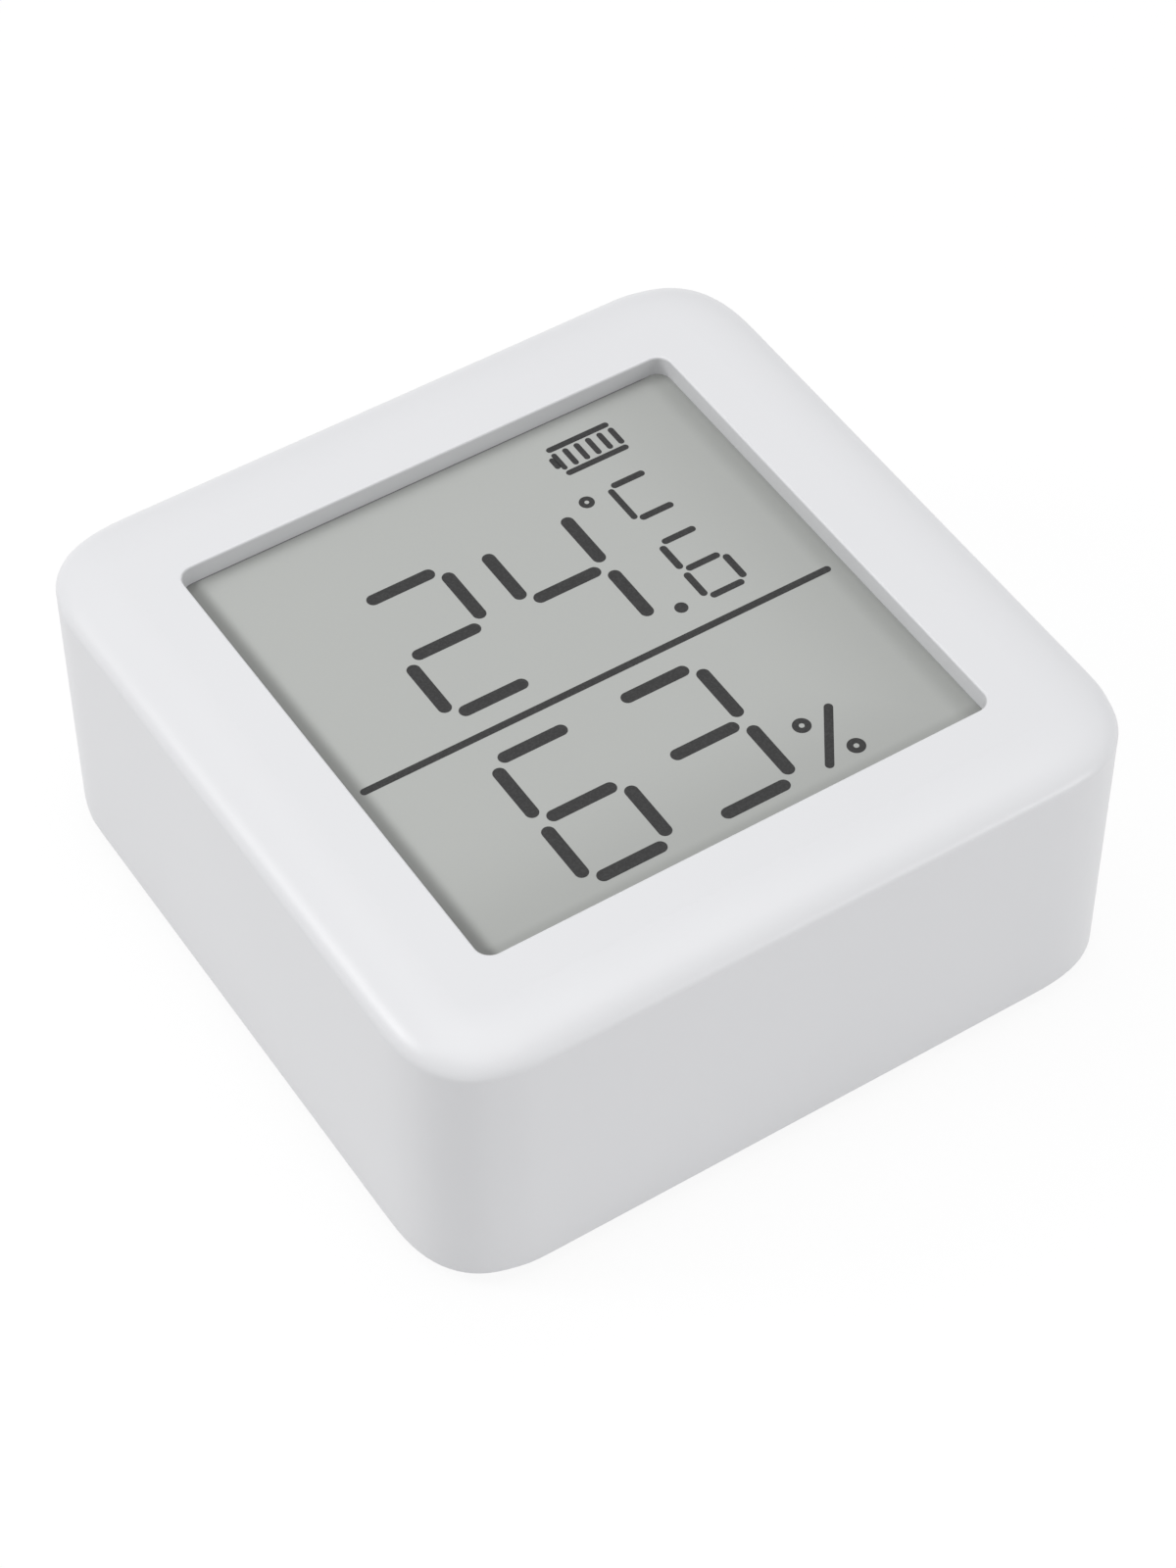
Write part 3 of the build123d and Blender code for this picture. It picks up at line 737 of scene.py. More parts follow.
class Finish(Enum):
    """Every finish on the sensor."""

    # The case's window_half turns on the painted shade on the window's upper wall.
    CASE = Moulding("case_white", (0.800, 0.804, 0.818), window_half=0.0197)
    COVER = Moulding(
        "cover_white", (0.795, 0.800, 0.814), rough=0.44, grain=0.0003, grain_depth=0.000030,
        uneven=0.03, pin_spots=((0.0215, -0.0205), (0.0185, 0.0030)),
    )
    INNER = Moulding(
        "inner_white", (0.74, 0.75, 0.75), rough=0.5, grain=0.0005, grain_depth=0.000040,
        uneven=0.04,
    )
    CAP = Moulding("button_grey", (0.30, 0.31, 0.33), rough=0.4)
    NYLON = Moulding("switch_black", (0.035, 0.035, 0.04), rough=0.45)
    FERRITE = Resin("coil_grey", (0.13, 0.13, 0.14), rough=0.55)
    # The film's second colour is its painted shade and its third the painted shade line in the crease
    # at the walls.
    FILM = DisplayFilm(
        "display_film", (0.468, 0.480, 0.462), (0.22, 0.225, 0.215), (0.19, 0.19, 0.195), 0.0197
    )
    INK = Resin("display_ink", (0.022, 0.022, 0.022), rough=0.6, depth=0.000002)
    REFLECTOR = Metal("reflector_film", (0.60, 0.61, 0.58), rough=0.4, stretch=(0.08, 1.0, 1.0))
    GLASS = PlateGlass("display_glass", (0.93, 0.97, 0.95))
    FOAM = Resin("foam_black", (0.03, 0.03, 0.03), rough=0.9, pit=0.0003, depth=0.00006)
    STRIP = StripedRubber("strip_rubber", (0.52, 0.53, 0.57), (0.05, 0.05, 0.055))
    BOARD = SolderMask("board_green", (0.022, 0.14, 0.07), (0.05, 0.26, 0.13))
    CHIP = Resin("chip_black", (0.028, 0.028, 0.032), rough=0.62)
    CERAMIC = Resin("antenna_ceramic", (0.72, 0.71, 0.66), rough=0.5, depth=0.000004)
    CAPACITOR = Resin("capacitor_tan", (0.42, 0.29, 0.17), rough=0.45, depth=0.000004)
    CAN = Metal("can_steel", (0.62, 0.62, 0.60), rough=0.3)
    SCREW = Metal("screw_steel", (0.50, 0.50, 0.52), rough=0.26)
    NICKEL = Metal("contact_nickel", (0.70, 0.69, 0.65), rough=0.2)
    MAGNET = TurnedMetal("magnet_nickel", (0.66, 0.65, 0.62), (0.0175, 0.0140))
    SOLDER = Metal("solder_tin", (0.66, 0.67, 0.67), rough=0.22, line=0.0004)
    MARK = Resin("package_mark", (0.16, 0.16, 0.165), rough=0.5, depth=0.000002)
    MESH = Weave("mesh_black", (0.07, 0.07, 0.075), (0.004, 0.004, 0.004))


class Palette:
    """The materials of the finishes, each made once."""

    def __init__(self) -> None:
        """Start with no material made."""
        self.made: dict[Finish, bpy.types.Material] = {}

    def of(self, finish: Finish) -> bpy.types.Material:
        """The material of a finish.

        Args:
            finish: the finish.

        Returns:
            Its material.
        """
        if finish not in self.made:
            self.made[finish] = finish.value.material()
        return self.made[finish]


# ---- mesh tools


def lattice(rows: int, columns: int) -> np.ndarray:
    """Quads of a grid whose columns close on themselves.

    Quad (i, j) joins point j of row i with its neighbours in the same and in the next row.

    Args:
        rows: number of rows.
        columns: number of points in a row.

    Returns:
        Array of quads, four indices each.
    """
    row, column = np.meshgrid(np.arange(rows - 1), np.arange(columns), indexing="ij")
    near = row * columns + column
    far = row * columns + (column + 1) % columns
    return np.stack([near, far, far + columns, near + columns], -1).reshape(-1, 4)


def ring_angles(columns: int) -> np.ndarray:
    """Even angles once round, without the last."""
    return np.linspace(0.0, TURN, columns, endpoint=False)


def make_piece(
    name: str, points: np.ndarray, faces: Iterable[Sequence[int]], smooth: bool
) -> bpy.types.Object:
    """Make an object from points and faces.

    Args:
        name: the piece's name.
        points: array of points in metres.
        faces: lists of point indices.
        smooth: whether its faces are shaded smooth.

    Returns:
        The new object.
    """
    mesh = bpy.data.meshes.new(name)
    mesh.from_pydata(points.reshape(-1, 3).tolist(), [], [list(map(int, face)) for face in faces])
    mesh.validate()
    mesh.polygons.foreach_set("use_smooth", np.full(len(mesh.polygons), smooth))
    piece = bpy.data.objects.new(name, mesh)
    bpy.context.scene.collection.objects.link(piece)
    return piece


def seal(
    piece: bpy.types.Object, crease: float = 0.6, merge: float = 1e-7, thin: float = 1e-8
) -> None:
    """Merge the points that meet on an axis, turn the faces outwards and mark the sharp edges.

    Args:
        piece: the object.
        crease: angle between faces, in radians, from which their edge is sharp.
        merge: distance in metres under which points become one.
        thin: length in metres under which an edge is dropped.
    """
    work = bmesh.new()
    work.from_mesh(piece.data)
    bmesh.ops.remove_doubles(work, verts=work.verts, dist=merge)
    bmesh.ops.dissolve_degenerate(work, edges=work.edges, dist=thin)
    bmesh.ops.recalc_face_normals(work, faces=work.faces)
    for edge in work.edges:
        edge.smooth = len(edge.link_faces) == 2 and edge.calc_face_angle(0.0) < crease
    work.to_mesh(piece.data)
    work.free()


def join_grids(
    name: str, grids: Sequence[np.ndarray], smooth: bool = True, capped: bool = False
) -> bpy.types.Object:
    """Join grids of one shape, whose columns close on themselves, into one piece.

    Args:
        name: the piece's name.
        grids: grids of points in metres.
        smooth: whether its faces are shaded smooth.
        capped: whether the first and last rows get flat ends; otherwise they are poles.

    Returns:
        The new object.
    """
    rows, columns = grids[0].shape[:2]
    size = rows * columns
    one = lattice(rows, columns).tolist()
    if capped:
        one += [list(range(columns))[::-1], list(range(size - columns, size))]
    starts = range(0, size * len(grids), size)
    faces = [[start + corner for corner in face] for start in starts for face in one]
    piece = make_piece(name, np.concatenate([grid.reshape(-1, 3) for grid in grids]), faces, smooth)
    seal(piece)
    return piece


def finish_piece(
    piece: bpy.types.Object, material: bpy.types.Material, stands_for: str = ""
) -> None:
    """Give a piece its material and its slot, and let it ride on the housing.

    Args:
        piece: the object.
        material: its finish.
        stands_for: the CAD node that it replaces, if any.
    """
    if stands_for:
        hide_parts(stands_for)
    piece.data.materials.append(material)
    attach(piece, "housing")
    LOG.info("%s: %d faces", piece.name, len(piece.data.polygons))


# ---- the display's marks


@dataclass(frozen=True)
class Stroke:
    """Straight stroke with round ends, from one end's centre to the other's, in millimetres."""

    start: Pair
    end: Pair
    width: float


@dataclass(frozen=True)
class Ring:
    """Ring or, with no hole, a dot, in millimetres."""

    centre: Pair
    outer: float
    hole: float = 0.001


@dataclass(frozen=True)
class Figure:
    """Seven-stroke figure: half its columns' distance, its row pitch and its strokes' sizes."""

    half_width: float
    pitch: float
    width: float
    flat_length: float
    upright_length: float

    SHAPES = {"2": "abged", "3": "abgcd", "4": "fgbc", "6": "afgedc"}
    ROWS = {"a": 1.0, "g": 0.0, "d": -1.0}
    COLUMNS = {"b": (1.0, 0.5), "c": (1.0, -0.5), "f": (-1.0, 0.5), "e": (-1.0, -0.5)}

    def strokes(self, sign: str, centre: Pair) -> list[Stroke]:
        """The strokes of one figure.

        Strokes a, g and d lie on the upper, middle and lower row, b and c stand in the right
        column, and f and e in the left one, above and below the middle.

        Args:
            sign: the figure.
            centre: its middle.

        Returns:
            Its strokes.
        """
        flat = (self.flat_length - self.width) / 2
        upright = (self.upright_length - self.width) / 2
        result = []
        for letter in self.SHAPES[sign]:
            if letter in self.ROWS:
                y = centre[1] + self.ROWS[letter] * self.pitch
                ends = (centre[0] - flat, y), (centre[0] + flat, y)
            else:
                side, level = self.COLUMNS[letter]
                x = centre[0] + side * self.half_width
                y = centre[1] + level * self.pitch
                ends = (x, y - upright), (x, y + upright)
            result.append(Stroke(*ends, self.width))
        return result


@dataclass
class DisplayMarks:
    """The lit segments: two rows of figures, their units, the dividing line and the battery sign.

    All but the level is in millimetres, from the middle of the window.
    """

    level: float
    thickness: float = 0.012
    drop: float = 0.06
    stroke_steps: int = 14
    ring_steps: int = 36
    large: Figure = Figure(3.2, 5.95, 0.97, 5.30, 4.91)
    small: Figure = Figure(1.6, 2.98, 0.54, 2.70, 2.49)
    large_signs: Sequence[tuple[str, Pair]] = (
        ("2", (-6.875, 5.775)), ("4", (2.74, 5.775)),
        ("6", (-6.875, -10.975)), ("3", (2.74, -10.975)),
    )
    small_signs: Sequence[tuple[str, Pair]] = (("6", (11.68, 2.59)),)
    dividing_line: Sequence[Stroke] = (Stroke((-18.30, -2.59), (18.37, -2.59), 0.56),)
    units: Sequence[Stroke] = (
        Stroke((10.60, 11.95), (12.76, 11.95), 0.54), Stroke((10.60, 8.32), (12.76, 8.32), 0.54),
        Stroke((10.07, 8.70), (10.07, 11.56), 0.48), Stroke((8.45, -17.10), (11.26, -12.94), 0.63),
    )
    battery: Sequence[Stroke] = (
        Stroke((8.64, 17.30), (13.26, 17.30), 0.49), Stroke((8.64, 14.70), (13.26, 14.70), 0.49),
        Stroke((8.62, 15.30), (8.62, 16.68), 0.40), Stroke((13.33, 15.32), (13.33, 16.66), 0.45),
        Stroke((9.55, 15.32), (9.55, 16.68), 0.44), Stroke((10.49, 15.32), (10.49, 16.68), 0.44),
        Stroke((11.44, 15.32), (11.44, 16.68), 0.44), Stroke((12.39, 15.32), (12.39, 16.68), 0.44),
        Stroke((8.25, 15.62), (8.25, 16.36), 0.42),
    )
    rings: Sequence[Ring] = (
        Ring((8.07, -0.18), 0.48), Ring((8.08, 11.63), 0.56, 0.17),
        Ring((8.85, -13.32), 0.655, 0.20), Ring((10.87, -16.70), 0.655, 0.20),
    )

    def strokes(self) -> list[Stroke]:
        """Every stroke of the display."""
        result = []
        for figure, signs in ((self.large, self.large_signs), (self.small, self.small_signs)):
            for sign, centre in signs:
                result += figure.strokes(sign, centre)
        return result + [*self.dividing_line, *self.units, *self.battery]

    def outline(self, stroke: Stroke) -> np.ndarray:
        """Outline of a stroke.

        Half a circle about each end: the end's centre plus half the width times the cosine and
        sine of an angle that runs over half a turn from the stroke's own normal.

        Args:
            stroke: the stroke.

        Returns:
            Points of the outline, in order.
        """
        start, end = np.array(stroke.start), np.array(stroke.end)
        heading = np.arctan2(*(end - start)[::-1])
        sweep = np.linspace(-np.pi / 2, np.pi / 2, self.stroke_steps)
        angle = np.concatenate([heading + sweep, heading + np.pi + sweep])
        centre = np.repeat([end, start], self.stroke_steps, axis=0)
        return centre + stroke.width / 2 * np.stack([np.cos(angle), np.sin(angle)], -1)

    def lifted(self, flat: np.ndarray, height: float) -> np.ndarray:
        """Lift flat points over the film.

        Args:
            flat: points in millimetres.
            height: height over the film in millimetres.

        Returns:
            Points in metres.
        """
        placed = (flat - (0.0, self.drop)) * MM
        return np.column_stack([placed, np.full(len(flat), self.level + height * MM)])

    def build(self, material: bpy.types.Material) -> None:
        """Build all marks as one piece on the display's front film.

        Each mark is a flat pad: its outline at the film's level and at its own top, joined by a
        wall, with both ends closed. A ring's ends are bands between its two circles.

        Args:
            material: the marks' finish.
        """
        points: list[np.ndarray] = []
        faces: list[Sequence[int]] = []
        count = 0
        for stroke in self.strokes():
            flat = self.outline(stroke)
            size = len(flat)
            faces += (lattice(2, size) + count).tolist()
            faces.append(list(range(count + size, count + 2 * size)))
            faces.append(list(range(count + size - 1, count - 1, -1)))
            points += [self.lifted(flat, 0.0), self.lifted(flat, self.thickness)]
            count += 2 * size
        angle = ring_angles(self.ring_steps)
        circle = np.stack([np.cos(angle), np.sin(angle)], -1)
        for ring in self.rings:
            inner, outer = ring.centre + circle * ring.hole, ring.centre + circle * ring.outer
            rows = (outer, 0.0), (outer, self.thickness), (inner, self.thickness), (inner, 0.0)
            size = len(rows) * self.ring_steps
            points += [self.lifted(flat, height) for flat, height in rows]
            faces += (lattice(len(rows) + 1, self.ring_steps) % size + count).tolist()
            count += size
        piece = make_piece("display_marks", np.concatenate(points), faces, False)
        finish_piece(piece, material)


# ---- cells, screws and springs


@dataclass
class Cell:
    """A battery cell turned on the axis of its CAD node, its profile in millimetres."""

    node: str
    end: float
    edge: float = 0.45
    edge_steps: int = 8
    groove: float = 0.16
    groove_back: float = 3.0
    groove_width: float = 1.2
    groove_steps: int = 9
    dish: float = 0.25
    dish_insets: Pair = (2.0, 1.6)
    seal_insets: Pair = (1.1, 1.25)
    seal_sink: float = 0.2
    nub_radius: float = 1.9
    nub_height: float = 0.8
    nub_foot: float = 0.1
    nub_edge: Pair = (0.15, 0.2)
    columns: int = 96
    jacket_colours: tuple[Colour, Colour, Colour] = (
        (0.05, 0.10, 0.20), (0.46, 0.48, 0.50), (0.68, 0.68, 0.66),
    )

    def profile(self, radius: float, length: float) -> np.ndarray:
        """Radius against distance from the negative end.

        A flat end with a shallow dish, a round edge, the can with a crimp groove next to the
        positive end, a round shoulder and the nub. Round edges are quarter circles.

        Args:
            radius: the can's radius.
            length: the whole length with the nub.

        Returns:
            Rows of distance and radius, in millimetres.
        """
        can, sunk = length - self.nub_height, length - self.nub_height - self.seal_sink
        turn = np.linspace(0.0, np.pi / 2, self.edge_steps)
        inward, shoulder = self.edge * (1 - np.sin(turn)), radius - self.edge * (1 - np.cos(turn))
        crimp = np.linspace(0.0, np.pi, self.groove_steps)
        start = can - self.groove_back
        groove = [start + self.groove_width * crimp / np.pi, radius - self.groove * np.sin(crimp)]
        dish_edge, flat_edge = (radius - inset for inset in self.dish_insets)
        dish = [(self.dish, 0.0), (self.dish, dish_edge), (0.0, flat_edge)]
        seal = [(can, radius - self.seal_insets[0]), (sunk, radius - self.seal_insets[1])]
        nub = [
            (sunk, self.nub_radius + self.nub_foot), (can + self.nub_foot, self.nub_radius),
            (length - self.nub_edge[0], self.nub_radius),
            (length, self.nub_radius - self.nub_edge[1]), (length, 0.0),
        ]
        back = np.column_stack([inward, shoulder])[::-1]
        front = np.column_stack([can - inward, shoulder])
        return np.concatenate([dish, back, np.column_stack(groove), front, seal, nub])

    def build(self) -> None:
        """Turn the profile about the cell's axis and put it in the CAD cell's place."""
        low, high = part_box(self.node)
        middle = (low + high) / 2
        radius, length = (high.z - low.z) / 2 / MM, (high.x - low.x) / MM
        profile = self.profile(radius, length)
        angle = ring_angles(self.columns)
        along, reach = profile[:, :1], profile[:, 1:]
        x = middle.x + self.end * (along - length / 2) * MM + 0 * angle
        y = middle.y + reach * np.cos(angle) * MM
        z = middle.z + self.end * reach * np.sin(angle) * MM
        piece = join_grids(f"{self.node}_dressed", [np.stack([x, y, z], -1)])
        centre = middle.x - self.end * self.nub_height / 2 * MM
        half = (length - self.nub_height) / 2 * MM
        jacket = CellJacket(f"{self.node}_jacket", *self.jacket_colours, centre, half, self.end)
        finish_piece(piece, jacket.material(), self.node)


@dataclass
class CrossScrews:
    """Four pan-head screws with a cross recess, in the corners of a CAD node, in millimetres."""

    node: str
    head_radius: float
    head: float
    shank_radius: float
    length: float
    head_rows: int = 26
    crown: float = 0.35
    recess: float = 0.55
    arm: Pair = (0.17, 0.05)
    arm_end: Pair = (0.62, 0.12)
    shank_rows: int = 56
    thread_pitch: float = 0.5
    thread_depth: float = 0.10
    point: float = 0.05
    columns: int = 48

    def surface(self) -> np.ndarray:
        """Points of one screw about its own axis, row by row from the recess to the tip.

        The head's top falls with the fourth power of the radius. The recess is cut where a
        point's smaller coordinate is inside the cross's arm and its larger one inside the arm's
        length, with a soft edge. The shank's radius ripples with the thread's pitch.

        Returns:
            Grid of points in millimetres.
        """
        angle = ring_angles(self.columns)[None, :]
        reach = np.linspace(0.0, 1.0, self.head_rows)[:, None]
        x, y = reach * np.cos(angle), reach * np.sin(angle)
        cut = np.clip((self.arm[0] - np.minimum(abs(x), abs(y))) / self.arm[1], 0, 1)
        cut = cut * np.clip((self.arm_end[0] - np.maximum(abs(x), abs(y))) / self.arm_end[1], 0, 1)
        top = -self.head * (1 - self.crown * reach**4) + self.recess * self.head * cut
        head = np.stack([x * self.head_radius, y * self.head_radius, top + 0 * angle], -1)
        rows = np.linspace(0.0, self.length, self.shank_rows)[:, None]
        wave = np.cos(TURN * rows / self.thread_pitch) - 1
        ripple = self.thread_depth * self.shank_radius * wave
        taper = np.clip((self.length - rows) / self.shank_radius, self.point, 1)
        radius = (self.shank_radius + ripple) * taper
        shank = np.stack([radius * np.cos(angle), radius * np.sin(angle), rows + 0 * angle], -1)
        rim = self.head_radius * np.stack([np.cos(angle), np.sin(angle), 0 * angle], -1)
        tip = np.stack([0 * angle, 0 * angle, self.length + 0 * angle], -1)
        return np.concatenate([head, rim, shank, tip])

    def build(self, material: bpy.types.Material) -> None:
        """Place a copy of the screw in each corner of the node's box, under its head's face.

        Args:
            material: the screws' finish.
        """
        low, high = (np.array(corner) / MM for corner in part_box(self.node))
        across, along = high[:2] - self.head_radius
        spots = [(x * across, y * along, low[2] + self.head) for x in (-1, 1) for y in (-1, 1)]
        piece = join_grids(f"{self.node}_dressed", [(self.surface() + spot) * MM for spot in spots])
        finish_piece(piece, material, self.node)


@dataclass
class ContactSprings:
    """Conical wire springs that press on the cells' negative ends, in millimetres."""

    base_radius: float = 2.99
    free_radius: float = 2.13
    wire: float = 0.5
    length: float = 3.5
    turns: float = 3.0
    level: float = 8.4
    foot: float = 24.2
    flat_share: float = 0.10
    tip_rows: float = 4.0
    tip_floor: float = 0.02
    rows: int = 200
    columns: int = 16

    def surface(self) -> np.ndarray:
        """Points of one spring that stands on its foot, row by row along the wire.

        The wire's centre runs round a cone: its radius falls evenly from foot to free end, and
        its height rises with the share of the wire, less a tenth of the sine of a whole turn over
        that share, so that both end turns lie nearly flat. Each row is a circle in the plane of the
        radial direction and the axis, and shrinks over the last rows to a rounded tip.

        Returns:
            Grid of points in millimetres: height, then two across.
        """
        share = np.linspace(0.0, 1.0, self.rows)[:, None]
        turn = TURN * self.turns * share
        around = ring_angles(self.columns)[None, :]
        rise = share - self.flat_share * np.sin(TURN * share)
        height = self.wire / 2 + (self.length - self.wire) * rise
        cone = self.base_radius + (self.free_radius - self.base_radius) * share
        ends = np.minimum(share, 1 - share) * self.rows / self.tip_rows
        thick = self.wire / 2 * np.sqrt(1 - (1 - np.clip(ends, self.tip_floor, 1)) ** 2)
        reach = cone + thick * np.cos(around)
        up = height + thick * np.sin(around)
        return np.stack([up, reach * np.cos(turn), reach * np.sin(turn)], -1)

    def build(self, material: bpy.types.Material) -> None:
        """Stand one spring on each of the two contact plates.

        Args:
            material: the springs' finish.
        """
        grids = []
        for side, node in ((-1, "upper_cell"), (1, "lower_cell")):
            low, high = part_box(node)
            foot = (side * self.foot, (low.y + high.y) / 2 / MM, self.level)
            grids.append((self.surface() * (-side, 1, 1) + foot) * MM)
        piece = join_grids("contact_springs_dressed", grids, capped=True)
        finish_piece(piece, material, "contact_springs")


# ---- the board's small metal


def pillow(
    centre: np.ndarray, half: np.ndarray, power: float = 0.3, rows: int = 10, columns: int = 20
) -> np.ndarray:
    """Rounded block: a superellipsoid.

    Each coordinate is the half size times the product of cosines and sines of two angles, each
    raised to the power with its sign kept.

    Args:
        centre: its middle.
        half: its half sizes.
        power: the power, where less is squarer.
        rows: rows from pole to pole.
        columns: points in a row.

    Returns:
        Grid of points.
    """
    polar = np.linspace(-np.pi / 2, np.pi / 2, rows)[:, None]
    around = ring_angles(columns)[None, :]
    unit = [np.cos(polar) * np.ones_like(around), np.sin(polar) * np.ones_like(around)]
    parts = (*unit, np.cos(around), np.sin(around))
    lifted = [np.sign(part) * abs(part) ** power for part in parts]
    grid = np.stack([lifted[0] * lifted[2], lifted[0] * lifted[3], lifted[1]], -1)
    return np.asarray(centre) + grid * half


def node_boxes(node: bpy.types.Object) -> list[np.ndarray]:
    """Boxes of the separate solids of a CAD node.

    Points in the same place are numbered alike. Then each takes the least number among its
    neighbours along the mesh's edges, over and over until nothing changes.

    Args:
        node: the CAD object.

    Returns:
        Arrays of low and high corner, in metres.
    """
    mesh = node.data
    points = np.empty(3 * len(mesh.vertices))
    mesh.vertices.foreach_get("co", points)
    points = points.reshape(-1, 3)
    edges = np.empty(2 * len(mesh.edges), dtype=int)
    mesh.edges.foreach_get("vertices", edges)
    _, label = np.unique(points.round(6), axis=0, return_inverse=True)
    label = label.reshape(-1)
    ends = label[edges.reshape(-1, 2)]
    group, before = np.arange(label.max() + 1), None
    while before is None or (group != before).any():
        before = group.copy()
        least = before[ends].min(1)
        np.minimum.at(group, ends[:, 0], least)
        np.minimum.at(group, ends[:, 1], least)
    parts = [points[group[label] == one] for one in np.unique(group)]
    return [np.array([part.min(0), part.max(0)]) for part in parts]


@dataclass(frozen=True)
class SideRow:
    """Pads or leads along each side of a package: their number on a side and their pitch."""

    node: str
    count: int
    pitch: float


@dataclass(frozen=True)
class PinMark:
    """Round mark at a package's first pin: its distance from both sides and its radius."""

    node: str
    inset: float
    radius: float


@dataclass
class BoardMetal:
    """End caps, pads, leads and solder of the board's components, with the packages' pin marks."""

    capped: Sequence[str] = ("chip_capacitors", "chip_resistors", "chip_antenna", "power_coil")
    cap_share: float = 0.22
    skin: float = 0.00003
    pad_rows: Sequence[SideRow] = (
        SideRow("wireless_chip", 8, 0.0005), SideRow("humidity_sensor", 2, 0.0010),
        SideRow("main_crystal", 1, 0.001), SideRow("clock_crystal", 1, 0.001),
    )
    pad_half: Pair = (0.00013, 0.00010)
    lead_row: SideRow = SideRow("display_driver", 12, 0.0005)
    lead_width: float = 0.00022
    lead_thickness: float = 0.00012
    lead_path: Sequence[Pair] = (
        (-0.00010, 0.00050), (0.00012, 0.00050), (0.00026, 0.00044), (0.00036, 0.00014),
        (0.00046, 0.00004), (0.00080, 0.00004),
    )
    tabbed: Sequence[str] = ("positive_contact", "negative_contact")
    tab_inset: float = 0.0002
    tab_mound: Triple = (0.00050, 0.00135, 0.00022)
    switch_lead: Pair = (0.0003, 0.00185)
    switch_mound: Triple = (0.00045, 0.0005, 0.00024)
    mound_power: float = 0.8
    pin_marks: Sequence[PinMark] = (
        PinMark("wireless_chip", 0.0008, 0.0003), PinMark("display_driver", 0.0010, 0.0004),
    )
    mark_height: float = 0.00001

    def end_caps(self, nodes: dict[str, bpy.types.Object]) -> list[np.ndarray]:
        """Two caps for each component, at the ends of its longer side.

        Args:
            nodes: the frame's objects by node.

        Returns:
            Grids of points.
        """
        grids = []
        for low, high in (box for name in self.capped for box in node_boxes(nodes[name])):
            centre, half = (low + high) / 2, (high - low) / 2
            axis = int(np.argmax(half[:2]))
            cap = half + self.skin
            cap[axis] = half[axis] * self.cap_share + self.skin
            for side in (-1, 1):
                place = centre.copy()
                place[axis] += side * half[axis] * (1 - self.cap_share)
                grids.append(pillow(place, cap))
        return grids

    def sides(self, row: SideRow) -> list[tuple[np.ndarray, np.ndarray]]:
        """Places along the four sides of a package, on the board's face, with their direction.

        Args:
            row: the package, the number on a side and the pitch.

        Returns:
            Pairs of place and outward direction.
        """
        low, high = (np.array(corner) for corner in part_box(row.node))
        centre, half = (low + high) / 2, (high - low) / 2
        spread = (np.arange(row.count) - (row.count - 1) / 2) * row.pitch
        result = []
        for out in np.array([(1.0, 0.0), (0.0, 1.0), (-1.0, 0.0), (0.0, -1.0)]):
            along = np.array([-out[1], out[0]])
            for offset in spread:
                flat = centre[:2] + out * half[:2] + along * offset
                result.append((np.array([*flat, high[2]]), np.array([*out, 0.0])))
        return result

    def pads(self) -> list[np.ndarray]:
        """Pads that show at the feet of the leadless packages."""
        grids = []
        for place, out in (spot for row in self.pad_rows for spot in self.sides(row)):
            half = np.where(out != 0, 2 * self.skin, self.pad_half[0])
            half[2] = self.pad_half[1]
            grids.append(pillow(place - (0, 0, self.pad_half[1]), half))
        return grids

    def lead(self, place: np.ndarray, out: np.ndarray) -> np.ndarray:
        """One bent lead: a flat bar along the lead's path, from the package down to the board.

        Args:
            place: the package's foot under the lead.
            out: outward direction.

        Returns:
            Grid of points, four to a row.
        """
        path = np.array(self.lead_path)
        across = np.array([-out[1], out[0], 0.0])
        middle = place + path[:, :1] * out - path[:, 1:] * (0.0, 0.0, 1.0)
        wide, thick = across * self.lead_width / 2, np.array([0.0, 0.0, self.lead_thickness / 2])
        corners = np.array([wide + thick, wide - thick, -wide - thick, -wide + thick])
        return middle[:, None, :] + corners[None, :, :] - thick

    def solder(self) -> list[np.ndarray]:
        """Solder mounds about the contacts' tabs and the switch's leads, on the board's back."""
        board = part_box("main_board")[0].z
        grids = []
        for low, high in map(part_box, self.tabbed):
            spot = (high.x - self.tab_inset, (low.y + high.y) / 2, board)
            grids.append(pillow(spot, self.tab_mound, self.mound_power))
        low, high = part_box("push_switch")
        inset, reach = self.switch_lead
        for x in (low.x + inset, high.x - inset):
            for side in (-1, 1):
                spot = (x, (low.y + high.y) / 2 + side * reach, board)
                grids.append(pillow(spot, self.switch_mound, self.mound_power))
        return grids

    def marks(self) -> list[np.ndarray]:
        """Round marks that show each package's first pin."""
        return [
            pillow(
                np.array(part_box(mark.node)[0]) + (mark.inset, mark.inset, 0.0),
                (mark.radius, mark.radius, self.mark_height), 1.0,
            )
            for mark in self.pin_marks
        ]

    def build(self, nodes: dict[str, bpy.types.Object], palette: Palette) -> None:
        """Build the caps, pads, leads, solder and marks.

        Args:
            nodes: the frame's objects by node.
            palette: the finishes' materials.
        """
        metal = palette.of(Finish.SOLDER)
        leads = [self.lead(*spot) for spot in self.sides(self.lead_row)]
        finish_piece(join_grids("component_caps", self.end_caps(nodes)), metal)
        finish_piece(join_grids("package_pads", self.pads()), metal)
        bars = join_grids("driver_leads", leads, smooth=False, capped=True)
        finish_piece(bars, metal)
        finish_piece(join_grids("solder_joints", self.solder()), metal)
        finish_piece(join_grids("pin_marks", self.marks()), palette.of(Finish.MARK))


# ---- CAD nodes, stage, light and camera


